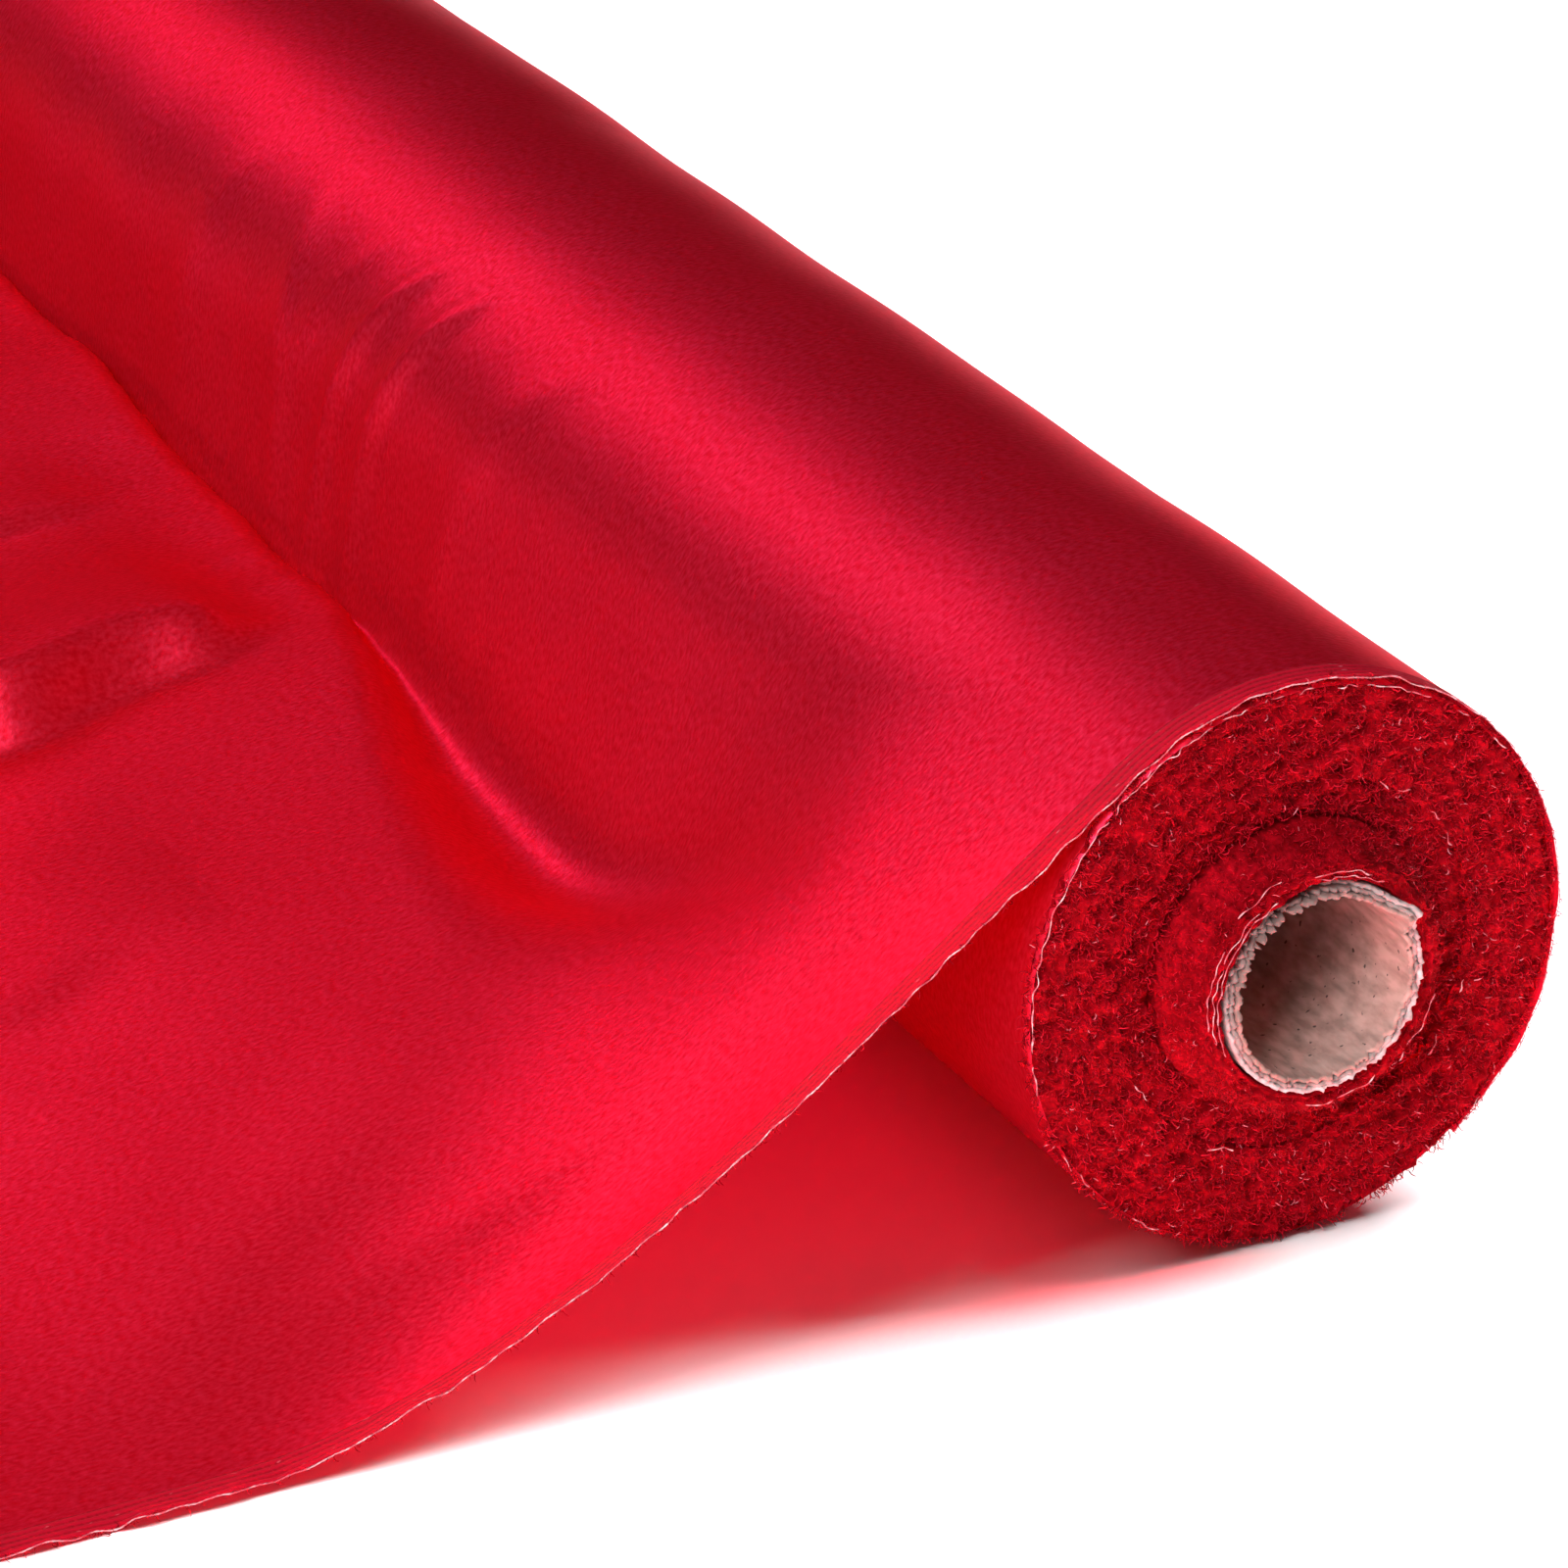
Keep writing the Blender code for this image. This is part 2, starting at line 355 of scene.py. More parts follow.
def joined(parts: Sequence[Tuple[np.ndarray, np.ndarray]]) -> Tuple[np.ndarray, np.ndarray]:
    """Several (points, quads) as one.

    Args:
        parts: The shells, as (points, quads).

    Returns:
        Their points and quads together.
    """
    points, faces, start = [], [], 0
    for part_points, part_faces in parts:
        points.append(part_points.reshape(-1, 3))
        faces.append(part_faces + start)
        start += len(points[-1])
    return np.concatenate(points), np.concatenate(faces)


def along(line: np.ndarray) -> np.ndarray:
    """The distance of each point of a line from its first one."""
    steps = np.linalg.norm(np.diff(line, axis=0), axis=1)
    return np.concatenate([[0.0], np.cumsum(steps)])


def respaced(line: np.ndarray, step: float) -> np.ndarray:
    """The line again with its points this far apart."""
    reach = along(line)
    at = np.linspace(0.0, reach[-1], max(2, int(reach[-1] / step)))
    return np.stack([np.interp(at, reach, line[:, k]) for k in range(3)], axis=1)


def strand(line: np.ndarray, radius: np.ndarray, sides: int) -> Tuple[np.ndarray, np.ndarray]:
    """A tube along a line, closed at its ends.

    Args:
        line: The points down its middle.
        radius: Its radius at each of them.
        sides: How many sides it has.

    Returns:
        Its points and its quads.
    """
    forward = np.gradient(line, axis=0)
    forward /= np.linalg.norm(forward, axis=1)[:, None] + 1e-12
    # Any fixed direction serves as a guide, as long as the line never runs along it for long.
    guide = np.where(np.abs(forward[:, 1:2]) < 0.9, [[0.0, 1.0, 0.0]], [[1.0, 0.0, 0.0]])
    first = np.cross(forward, guide)
    first /= np.linalg.norm(first, axis=1)[:, None] + 1e-12
    second = np.cross(forward, first)
    angles = np.arange(sides) * TURN / sides
    taper = np.array(radius, float) * np.ones(len(line))
    taper[0] = taper[-1] = 1e-6
    across, up = (wave(angles)[None, :, None] for wave in (np.cos, np.sin))
    around = across * first[:, None] + up * second[:, None]
    points = line[:, None] + taper[:, None, None] * around
    return points, grid_faces(len(line), sides, False, True)


# ---------------------------------------------------------------- finishes


def add_node(
    tree: bpy.types.NodeTree, kind: str, inputs: Optional[dict] = None, **settings: object
) -> bpy.types.Node:
    """Adds a node to a tree.

    Args:
        tree: The tree.
        kind: The node's type.
        inputs: Input names or numbers, each with a constant or an output to link.
        settings: The node's own properties.

    Returns:
        The new node.
    """
    node = tree.nodes.new(kind)
    for name, value in settings.items():
        setattr(node, name, value)
    for name, value in (inputs or {}).items():
        if isinstance(value, Socket):
            tree.links.new(value, node.inputs[name])
        else:
            node.inputs[name].default_value = value
    return node


class Recipe:
    """Builds one node material, a node at a time."""

    def __init__(self, name: str) -> None:
        """Starts an empty material of this name.

        Args:
            name: The material's name.
        """
        self.material = bpy.data.materials.new(name)
        self.material.use_nodes = True
        self.tree = self.material.node_tree
        self.tree.nodes.clear()
        self.output = self.tree.nodes.new("ShaderNodeOutputMaterial")

    def add(self, kind: str, inputs: Optional[dict] = None, **settings: object) -> bpy.types.Node:
        """Adds a shader node, named without the ShaderNode prefix, as add_node says."""
        return add_node(self.tree, "ShaderNode" + kind, inputs, **settings)

    def uv(self, stretch: Triple = (1, 1, 1)) -> Socket:
        """The piece's flat-cloth coordinates, multiplied by stretch."""
        source = self.add("TexCoord").outputs["UV"]
        return self.add("Mapping", {"Vector": source, "Scale": stretch}).outputs[0]

    def space(self, stretch: Triple = (1, 1, 1)) -> Socket:
        """The piece's object coordinates, multiplied by stretch."""
        source = self.add("TexCoord").outputs["Object"]
        return self.add("Mapping", {"Vector": source, "Scale": stretch}).outputs[0]

    def kept(self, name: str) -> Socket:
        """A number kept at each point of the piece."""
        return self.add("Attribute", attribute_name=name).outputs["Fac"]

    def noise(self, place: Socket, scale: float, detail: float = 2.0) -> Socket:
        """A noise over these coordinates, from 0 to 1."""
        return self.add("TexNoise", {"Vector": place, "Scale": scale, "Detail": detail}).outputs[0]

    def worked(self, operation: str, *values: object) -> Socket:
        """The result of a Math node on these numbers or sockets."""
        return self.add("Math", dict(enumerate(values)), operation=operation).outputs[0]

    def ramp(self, factor: Socket, stops: Sequence[Tuple[float, Sequence[float]]]) -> Socket:
        """A colour ramp.

        Args:
            factor: What runs along it.
            stops: Each stop's place and its colour.

        Returns:
            The ramp's colour.
        """
        node = self.add("ValToRGB", {"Fac": factor})
        elements = node.color_ramp.elements
        while len(elements) < len(stops):
            elements.new(0.5)
        for element, (place, colour) in zip(elements, stops):
            element.position = place
            element.color = (*colour, 1.0)
        return node.outputs["Color"]

    def specked(self, base: Socket, place: Socket, scale: float, cut: float, colour: Colour) -> Socket:
        """A colour with specks of another over it.

        Args:
            base: The colour between the specks.
            place: The coordinates they are spread over.
            scale: How fine they are.
            cut: How rare they are, up to 1.
            colour: The specks' colour.

        Returns:
            The two together.
        """
        mask = self.ramp(self.noise(place, scale, 1.0), ((cut, (0, 0, 0)), (SPECK_EDGE, (1, 1, 1))))
        return self.laid_over(mask, base, colour)

    def laid_over(self, share: Socket, base: Socket, colour: Colour) -> Socket:
        """A plain colour laid over another, by a share at each place."""
        sockets = {"Factor": share, "A": base, "B": (*colour, 1.0)}
        return self.add("Mix", sockets, data_type="RGBA").outputs["Result"]

    def surface(self, colour: Socket, roughness: float, **more: object) -> bpy.types.Node:
        """The main shader.

        Args:
            colour: Its colour.
            roughness: Its roughness.
            more: relief, as (height, strength, depth in metres), and any of level, tint,
                metallic and sheen.

        Returns:
            The shader.
        """
        sockets = {"Base Color": colour, "Roughness": roughness}
        if "relief" in more:
            height, strength, depth = more.pop("relief")
            lift = self.add("Bump", {"Height": height, "Strength": strength, "Distance": depth})
            sockets["Normal"] = lift.outputs[0]
        if "tint" in more:
            more["tint"] = (*more["tint"], 1.0)
        sockets.update({SHADER_SOCKETS[word]: value for word, value in more.items()})
        return self.add("BsdfPrincipled", sockets)

    def glowing(self, surface: bpy.types.Node, share: float, colour: Colour) -> bpy.types.Node:
        """A shader that lets a share of the light behind it glow through."""
        glow = self.add("BsdfTranslucent", {"Color": (*colour, 1.0)})
        return self.add("MixShader", {0: share, 1: surface.outputs[0], 2: glow.outputs[0]})

    def finish(self, surface: bpy.types.Node) -> bpy.types.Material:
        """Links the shader to the output and returns the material."""
        self.tree.links.new(surface.outputs[0], self.output.inputs["Surface"])
        return self.material


@dataclass(frozen=True)
class SatinFinish:
    """Bright red satin: glossy across its floats, with a fine grain, and thin enough to glow."""

    light: Colour = (0.86, 0.034, 0.096)
    deep: Colour = (0.64, 0.009, 0.032)
    gloss: Colour = (1.0, 0.14, 0.22)
    through: Colour = (1.0, 0.005, 0.030)
    glow: float = 0.36
    grain: float = 1150.0
    metallic: float = 0.85
    roughness: float = 0.42

    def make(self, name: str) -> bpy.types.Material:
        """Builds the material.

        Args:
            name: The material's name.

        Returns:
            The material.
        """
        recipe = Recipe(name)
        fine = recipe.noise(recipe.uv((1.0, 0.45, 1.0)), self.grain, 3.0)
        broad = recipe.noise(recipe.uv(), 14.0, 2.0)
        shift = recipe.worked("MULTIPLY_ADD", broad, 0.08, 0.07)
        mixed = recipe.worked("MULTIPLY_ADD", fine, 0.5, shift)
        colour = recipe.ramp(mixed, ((0.28, self.deep), (0.46, self.light)))
        relief = (fine, 0.45, 0.00025)
        surface = recipe.surface(
            colour, self.roughness, relief=relief, metallic=self.metallic, level=0.25, tint=self.gloss
        )
        return recipe.finish(recipe.glowing(surface, self.glow, self.through))


@dataclass(frozen=True)
class SelvedgeFinish:
    """The cloth's woven edge: matt, ribbed across, with a row of short pale dashes."""

    light: Colour = (0.50, 0.005, 0.024)
    deep: Colour = (0.24, 0.002, 0.009)
    pale: Colour = (0.60, 0.10, 0.14)
    gloss: Colour = (1.0, 0.12, 0.18)
    through: Colour = (0.9, 0.01, 0.03)
    glow: float = 0.2
    roughness: float = 0.62

    def make(self, name: str) -> bpy.types.Material:
        """Builds the material.

        Args:
            name: The material's name.

        Returns:
            The material.
        """
        recipe = Recipe(name)
        ribbed = {"Vector": recipe.uv(), "Scale": 190.0, "Distortion": 1.6, "Detail": 2.0}
        ribs = recipe.add("TexWave", ribbed)
        cross = recipe.noise(recipe.uv((0.35, 1.0, 1.0)), 1500.0, 2.0)
        height = recipe.worked("ADD", ribs.outputs["Fac"], cross)
        colour = recipe.ramp(height, ((0.35, self.deep), (0.78125, self.light)))
        dashed = recipe.specked(colour, recipe.uv((1.0, 0.30, 1.0)), 1100.0, 0.70, self.pale)
        relief = (height, 0.5, 0.0002)
        surface = recipe.surface(dashed, self.roughness, relief=relief, level=0.25, tint=self.gloss)
        return recipe.finish(recipe.glowing(surface, self.glow, self.through))


@dataclass(frozen=True)
class FibreFinish:
    """Loose cut fibres, each of a random tone from deep red to bright red, and a few pale tips."""

    stops: Tuple[Tuple[float, Colour], ...] = (
        (0.00, (0.10, 0.0006, 0.002)),
        (0.35, (0.30, 0.0020, 0.008)),
        (0.80, (0.50, 0.0040, 0.016)),
        (0.985, (0.62, 0.010, 0.030)),
        (1.00, (0.78, 0.24, 0.30)),
    )
    gloss: Colour = (1.0, 0.10, 0.15)
    roughness: float = 0.62

    def make(self, name: str) -> bpy.types.Material:
        """Builds the material.

        Args:
            name: The material's name.

        Returns:
            The material.
        """
        recipe = Recipe(name)
        fine = recipe.noise(recipe.space(), 900.0, 2.0)
        mixed = recipe.worked("MULTIPLY_ADD", fine, 0.16, recipe.kept("shade"))
        colour = recipe.ramp(recipe.worked("SUBTRACT", mixed, 0.08), self.stops)
        return recipe.finish(recipe.surface(colour, self.roughness, level=0.3, tint=self.gloss))


@dataclass(frozen=True)
class WoundEdgeFinish:
    """The massed edges of the windings, under their loose fibres."""

    light: Colour = (0.36, 0.0022, 0.009)
    deep: Colour = (0.11, 0.0006, 0.002)
    gloss: Colour = (1.0, 0.10, 0.15)
    roughness: float = 0.85

    def make(self, name: str) -> bpy.types.Material:
        """Builds the material.

        Args:
            name: The material's name.

        Returns:
            The material.
        """
        recipe = Recipe(name)
        fine = recipe.noise(recipe.space(), 700.0, 4.0)
        clumps = recipe.noise(recipe.space(), 160.0, 2.0)
        height = recipe.worked("MULTIPLY", fine, clumps)
        colour = recipe.ramp(height, ((0.12, self.deep), (0.42, self.light)))
        relief = (fine, 0.8, 0.0008)
        return recipe.finish(
            recipe.surface(colour, self.roughness, relief=relief, level=0.1, tint=self.gloss)
        )


@dataclass(frozen=True)
class ThreadFinish:
    """The pale thread that runs along the cloth's edge."""

    light: Colour = (0.86, 0.55, 0.58)
    deep: Colour = (0.55, 0.07, 0.11)
    roughness: float = 0.7

    def make(self, name: str) -> bpy.types.Material:
        """Builds the material.

        Args:
            name: The material's name.

        Returns:
            The material.
        """
        recipe = Recipe(name)
        patches = recipe.noise(recipe.space(), 420.0, 3.0)
        colour = recipe.ramp(patches, ((0.45, self.deep), (0.66, self.light)))
        relief = (recipe.noise(recipe.space(), 4200.0, 1.0), 0.4, 0.0001)
        return recipe.finish(recipe.surface(colour, self.roughness, relief=relief, sheen=0.2))


@dataclass(frozen=True)
class PaperboardFinish:
    """Grey-brown paperboard with fibres along it, dark specks, a greyer torn rim, and the same grey painted
    as shade on the lining behind the rim.
    """

    light: Colour
    deep: Colour
    speck: Colour = (0.07, 0.04, 0.035)
    # The grey of the torn rim, also painted as shade on the lining behind it.
    torn: Colour = (0.17, 0.115, 0.105)
    roughness: float = 0.9

    def make(self, name: str) -> bpy.types.Material:
        """Builds the material.

        Args:
            name: The material's name.

        Returns:
            The material.
        """
        recipe = Recipe(name)
        fibres = recipe.noise(recipe.space((1.0, 0.4, 1.0)), 420.0, 5.0)
        colour = recipe.ramp(fibres, ((0.34, self.deep), (0.66, self.light)))
        specked = recipe.specked(colour, recipe.space(), 620.0, 0.71, self.speck)
        # Grey where the rim is torn, and painted shade on the lining behind its top.
        torn_grey_and_painted_shade = recipe.laid_over(recipe.kept("torn"), specked, self.torn)
        return recipe.finish(recipe.surface(torn_grey_and_painted_shade, self.roughness, relief=(fibres, 0.6, 0.0004)))


@dataclass(frozen=True)
class TapeFinish:
    """Thin buff adhesive tape."""

    light: Colour = (0.75, 0.62, 0.40)
    deep: Colour = (0.62, 0.49, 0.29)
    roughness: float = 0.35

    def make(self, name: str) -> bpy.types.Material:
        """Builds the material.

        Args:
            name: The material's name.

        Returns:
            The material.
        """
        recipe = Recipe(name)
        creases = recipe.noise(recipe.space((1.0, 0.2, 1.0)), 300.0, 3.0)
        colour = recipe.ramp(creases, ((0.4, self.deep), (0.6, self.light)))
        return recipe.finish(recipe.surface(colour, self.roughness, relief=(creases, 0.3, 0.0002)))


@dataclass(frozen=True)
class FloorFinish:
    """A plain white studio floor."""

    colour: Colour = (0.93, 0.93, 0.94)
    roughness: float = 0.9

    def make(self, name: str) -> bpy.types.Material:
        """Builds the material."""
        recipe = Recipe(name)
        return recipe.finish(recipe.surface((*self.colour, 1.0), self.roughness, level=0.1))


class Wardrobe:
    """Every finish of the bolt, each made once."""

    def __init__(self) -> None:
        """Makes all the materials."""
        self.satin = SatinFinish().make("red_satin")
        self.selvedge = SelvedgeFinish().make("woven_selvedge")
        self.fibre = FibreFinish().make("loose_fibre")
        self.wound = WoundEdgeFinish().make("wound_edge")
        self.thread = ThreadFinish().make("pale_thread")
        body = PaperboardFinish((0.42, 0.33, 0.31), (0.20, 0.15, 0.14))
        lining = PaperboardFinish((0.48, 0.30, 0.26), (0.27, 0.165, 0.14))
        cover = PaperboardFinish((0.72, 0.58, 0.57), (0.34, 0.25, 0.25))
        self.board = body.make("paperboard")
        self.board_inside = lining.make("paperboard_lining")
        self.board_outside = cover.make("paperboard_cover")
        self.tape = TapeFinish().make("adhesive_tape")
        self.floor = FloorFinish().make("studio_floor")


# ---------------------------------------------------------------- loose fibres


class Curl(Enum):
    """The shapes that a loose fibre takes, as (bend in radians, twist in radians)."""

    HOOK = (2.4, 0.6)
    WAVE = (1.1, 2.4)
    LOOP = (3.9, 1.6)


@dataclass(frozen=True)
class Pile:
    """What one kind of loose fibre is like."""

    per_metre: float  # fibres on a square metre at full density
    shortest: float
    longest: float
    tilt: float  # how far they lean from their direction, in radians
    thickness: float = 1.0  # against their length

    def sizes(self) -> Dict[str, float]:
        """The planter's inputs of the same meaning.

        Returns:
            Each input's name and value.
        """
        return {
            "Density": self.per_metre,
            "Shortest": self.shortest,
            "Longest": self.longest,
            "Tilt": self.tilt,
            "Thickness": self.thickness,
        }


EDGE_PILE = Pile(2.6e6, 0.0009, 0.0026, 0.9, 0.8)
CUT_PILE = Pile(3.6e6, 0.0022, 0.0052, 0.22, 0.45)
END_PILE = Pile(2.3e6, 0.0014, 0.0030, 0.95)
COLLAR_PILE = Pile(1.6e6, 0.0010, 0.0022, 0.9)


class FibrePlanter:
    """A Geometry Nodes tree that grows curly fibres from a surface."""

    def __init__(self, material: bpy.types.Material) -> None:
        """Builds the fibre shapes and the tree.

        Args:
            material: What the fibres are made of.
        """
        self.material = material
        self.shapes = {f"Shape {curl.name.lower()}": self._shape(curl) for curl in Curl}
        self.tree = self._tree()

    def _shape(self, curl: Curl, girth: float = 0.055) -> bpy.types.Object:
        """One fibre of unit height, three-sided and tapering, standing on the origin.

        Args:
            curl: How it bends and twists.
            girth: Its radius against its height.

        Returns:
            The fibre.
        """
        bend, twist = curl.value
        share = np.linspace(0.0, 1.0, 5)
        tilt = bend * share
        around = twist * share
        step = np.stack([np.sin(tilt) * np.cos(around), np.sin(tilt) * np.sin(around), np.cos(tilt)], axis=1)
        line = np.concatenate([[[0.0, 0.0, 0.0]], np.cumsum(step[:-1], axis=0) / 4])
        points, faces = strand(line, girth * (1.15 - 0.6 * share), 3)
        return mesh_object(f"fibre_{curl.name.lower()}", points, faces, self.material)

    def _tree(self) -> bpy.types.NodeTree:
        """Builds the tree, with its sizes as named inputs.

        Returns:
            The tree.
        """
        tree = bpy.data.node_groups.new("fibre_planter", "GeometryNodeTree")
        inputs = {"Geometry": "Geometry", "Density": "Float", "Shortest": "Float", "Longest": "Float"}
        inputs.update({"Tilt": "Float", "Thickness": "Float", "Seed": "Int"})
        inputs.update({name: "Object" for name in self.shapes})
        inputs["Finish"] = "Material"
        for name, kind in inputs.items():
            tree.interface.new_socket(name, in_out="INPUT", socket_type="NodeSocket" + kind)
        tree.interface.new_socket("Geometry", in_out="OUTPUT", socket_type="NodeSocketGeometry")

        def add(kind: str, values: Optional[dict] = None, **settings: object) -> bpy.types.Node:
            """Adds a node to this tree, as add_node says."""
            return add_node(tree, kind, values, **settings)

        def product(first: Socket, second: object) -> Socket:
            """Two numbers multiplied."""
            return add("ShaderNodeMath", {0: first, 1: second}, operation="MULTIPLY").outputs[0]

        def kept(name: str, kind: str) -> Socket:
            """A value kept at each point of the bed."""
            return add("GeometryNodeInputNamedAttribute", {"Name": name}, data_type=kind).outputs["Attribute"]

        given = add("NodeGroupInput").outputs
        density = product(kept("density", "FLOAT"), given["Density"])
        scatter = add(
            "GeometryNodeDistributePointsOnFaces",
            {"Mesh": given["Geometry"], "Density": density, "Seed": given["Seed"]},
            distribute_method="RANDOM",
        )
        shapes = add("GeometryNodeJoinGeometry")
        for name in self.shapes:
            info = add("GeometryNodeObjectInfo", {"Object": given[name]}, transform_space="ORIGINAL")
            wrapped = add("GeometryNodeGeometryToInstance", {"Geometry": info.outputs["Geometry"]})
            tree.links.new(wrapped.outputs[0], shapes.inputs[0])

        # Each fibre stands along the bed's own direction, then leans and turns at random.
        facing = {"Vector": kept("grow", "FLOAT_VECTOR")}
        stand = add("FunctionNodeAlignRotationToVector", facing, axis="Z")
        back = product(given["Tilt"], -1.0)
        lowest = add("ShaderNodeCombineXYZ", {0: back, 1: back})
        highest = add("ShaderNodeCombineXYZ", {0: given["Tilt"], 1: given["Tilt"], 2: TURN})
        span = {"Min": lowest.outputs[0], "Max": highest.outputs[0], "Seed": given["Seed"]}
        angles = add("FunctionNodeRandomValue", span, data_type="FLOAT_VECTOR")
        lean = add("FunctionNodeEulerToRotation", {0: angles.outputs["Value"]})
        turned = {0: stand.outputs[0], 1: lean.outputs[0]}
        turn = add("FunctionNodeRotateRotation", turned, rotation_space="LOCAL")

        other_seed = add("ShaderNodeMath", {0: given["Seed"], 1: 7.0}, operation="ADD")
        span = {2: given["Shortest"], 3: given["Longest"], "Seed": other_seed.outputs[0]}
        size = add("FunctionNodeRandomValue", span, data_type="FLOAT").outputs[1]
        width = product(size, given["Thickness"])
        scale = add("ShaderNodeCombineXYZ", {0: width, 1: width, 2: size})
        sown = {"Points": scatter.outputs["Points"], "Instance": shapes.outputs[0], "Pick Instance": True}
        sown.update({"Rotation": turn.outputs[0], "Scale": scale.outputs[0]})
        fibres = add("GeometryNodeInstanceOnPoints", sown)
        shade = add("FunctionNodeRandomValue", {2: 0.0, 3: 1.0}, data_type="FLOAT")
        shaded = {"Name": "shade", "Geometry": fibres.outputs[0], "Value": shade.outputs[1]}
        keep = add("GeometryNodeStoreNamedAttribute", shaded, data_type="FLOAT", domain="INSTANCE")
        real = add("GeometryNodeRealizeInstances", {0: keep.outputs[0]})
        dressed = {"Geometry": real.outputs[0], "Material": given["Finish"]}
        add("NodeGroupOutput", {0: add("GeometryNodeSetMaterial", dressed).outputs[0]})
        return tree

    def grow(
        self,
        name: str,
        bed: np.ndarray,
        direction: np.ndarray,
        density: np.ndarray,
        pile: Pile,
        seed: int,
        rings: bool = True,
    ) -> bpy.types.Object:
        """Grows fibres from a bed into one plain mesh.

        Args:
            name: The new piece's name.
            bed: The rows of points they grow from.
            direction: The way they point at each point of the bed.
            density: The share of the full density at each point.
            pile: What they are like.
            seed: Chooses their places.
            rings: Whether the bed's rows are rings.

        Returns:
            The piece, a plain mesh.
        """
        shades = {"grow": direction.reshape(-1, 3), "density": density.ravel()}
        faces = grid_faces(bed.shape[0], bed.shape[1], False, rings)
        obj = mesh_object(name + "_bed", bed, faces, self.material, shades=shades)
        modifier = obj.modifiers.new("fibres", "NODES")
        modifier.node_group = self.tree
        values = {**pile.sizes(), **self.shapes, "Seed": seed, "Finish": self.material}
        for item in self.tree.interface.items_tree:
            if item.item_type == "SOCKET" and item.in_out == "INPUT" and item.name in values:
                modifier[item.identifier] = values[item.name]
        graph = bpy.context.evaluated_depsgraph_get()
        mesh = bpy.data.meshes.new_from_object(obj.evaluated_get(graph))
        mesh.name = name
        bpy.data.objects.remove(obj, do_unlink=True)
        made = bpy.data.objects.new(name, mesh)
        bpy.context.scene.collection.objects.link(made)
        return made

    def clear(self) -> None:
        """Removes the shapes and the tree once everything has grown."""
        for shape in self.shapes.values():
            bpy.data.objects.remove(shape, do_unlink=True)
        bpy.data.node_groups.remove(self.tree)


# ---------------------------------------------------------------- the cloth


@dataclass(frozen=True)
class Ridge:
    """A fold in the cloth on the floor, with a steep side towards the near end."""

    start: float  # how far out from the axis it begins
    place: float  # from the near edge, along the roll
    height: float
    face: float  # how wide its steep side is
    back: float  # how wide its gentle side is
    lean: float  # how far its line drifts along the roll for each metre out
    sway: float = 0.0015
    growth: float = 0.032  # the run over which it reaches its height
    fade_from: float = 0.20
    fade_over: float = 0.08

    def lift(self, out: np.ndarray, from_near: np.ndarray) -> np.ndarray:
        """How far it lifts the cloth.

        Args:
            out: Distance from the roll's axis, towards the cloth's cut end.
            from_near: Distance from the near edge.

        Returns:
            The lift at each place.
        """
        top = self.place + self.lean * (out - self.start) + self.sway * wander(31, 0.05, out)
        grown = 1 - np.exp(-np.clip(out - self.start, 0, None) / self.growth)
        fade = 1 - ease((out - self.fade_from) / self.fade_over)
        offset = from_near - top
        steep = ease(1 + offset / self.face)
        gentle = bump(np.clip(offset, 0, None), self.back)
        return self.height * grown * fade * np.where(offset < 0, steep, gentle)


@dataclass(frozen=True)
class Pleat:
    """A fine wrinkle that runs down the steep drop from the highlight."""

    top: float  # from the near edge, where it starts
    foot: float  # and where it ends
    height: float
    width: float
    settling: float = 0.35  # share of the drop over which its line turns to its foot
    steepness: float = 0.6  # width of its near side against its far side
    growth: float = 0.22  # share of the drop over which it reaches its height
    weakening: float = 0.7  # share of its height that it loses lower down

    def lift(self, down: np.ndarray, from_near: np.ndarray) -> np.ndarray:
        """How far it stands out.

        Args:
            down: Share of the way down the drop, below 0 before it starts.
            from_near: Distance from the near edge.

        Returns:
            The height at each place.
        """
        line = self.top + (self.foot - self.top) * (1 - np.exp(-np.clip(down, 0, None) / self.settling))
        offset = from_near - line
        across = np.where(offset < 0, bump(offset, self.width * self.steepness), bump(offset, self.width))
        kept = 1 - self.weakening * ease((down - 0.5) / 0.4)
        return self.height * across * ease(down / self.growth) * kept


# How many points each stretch of a section across the cloth has.
STRETCHES = {"wrap": 86, "leg": 14, "dip": 9, "rise": 5, "bend": 12}
STRETCHES.update({"apron": 44, "landing": 8, "floor": 20, "end": 24})


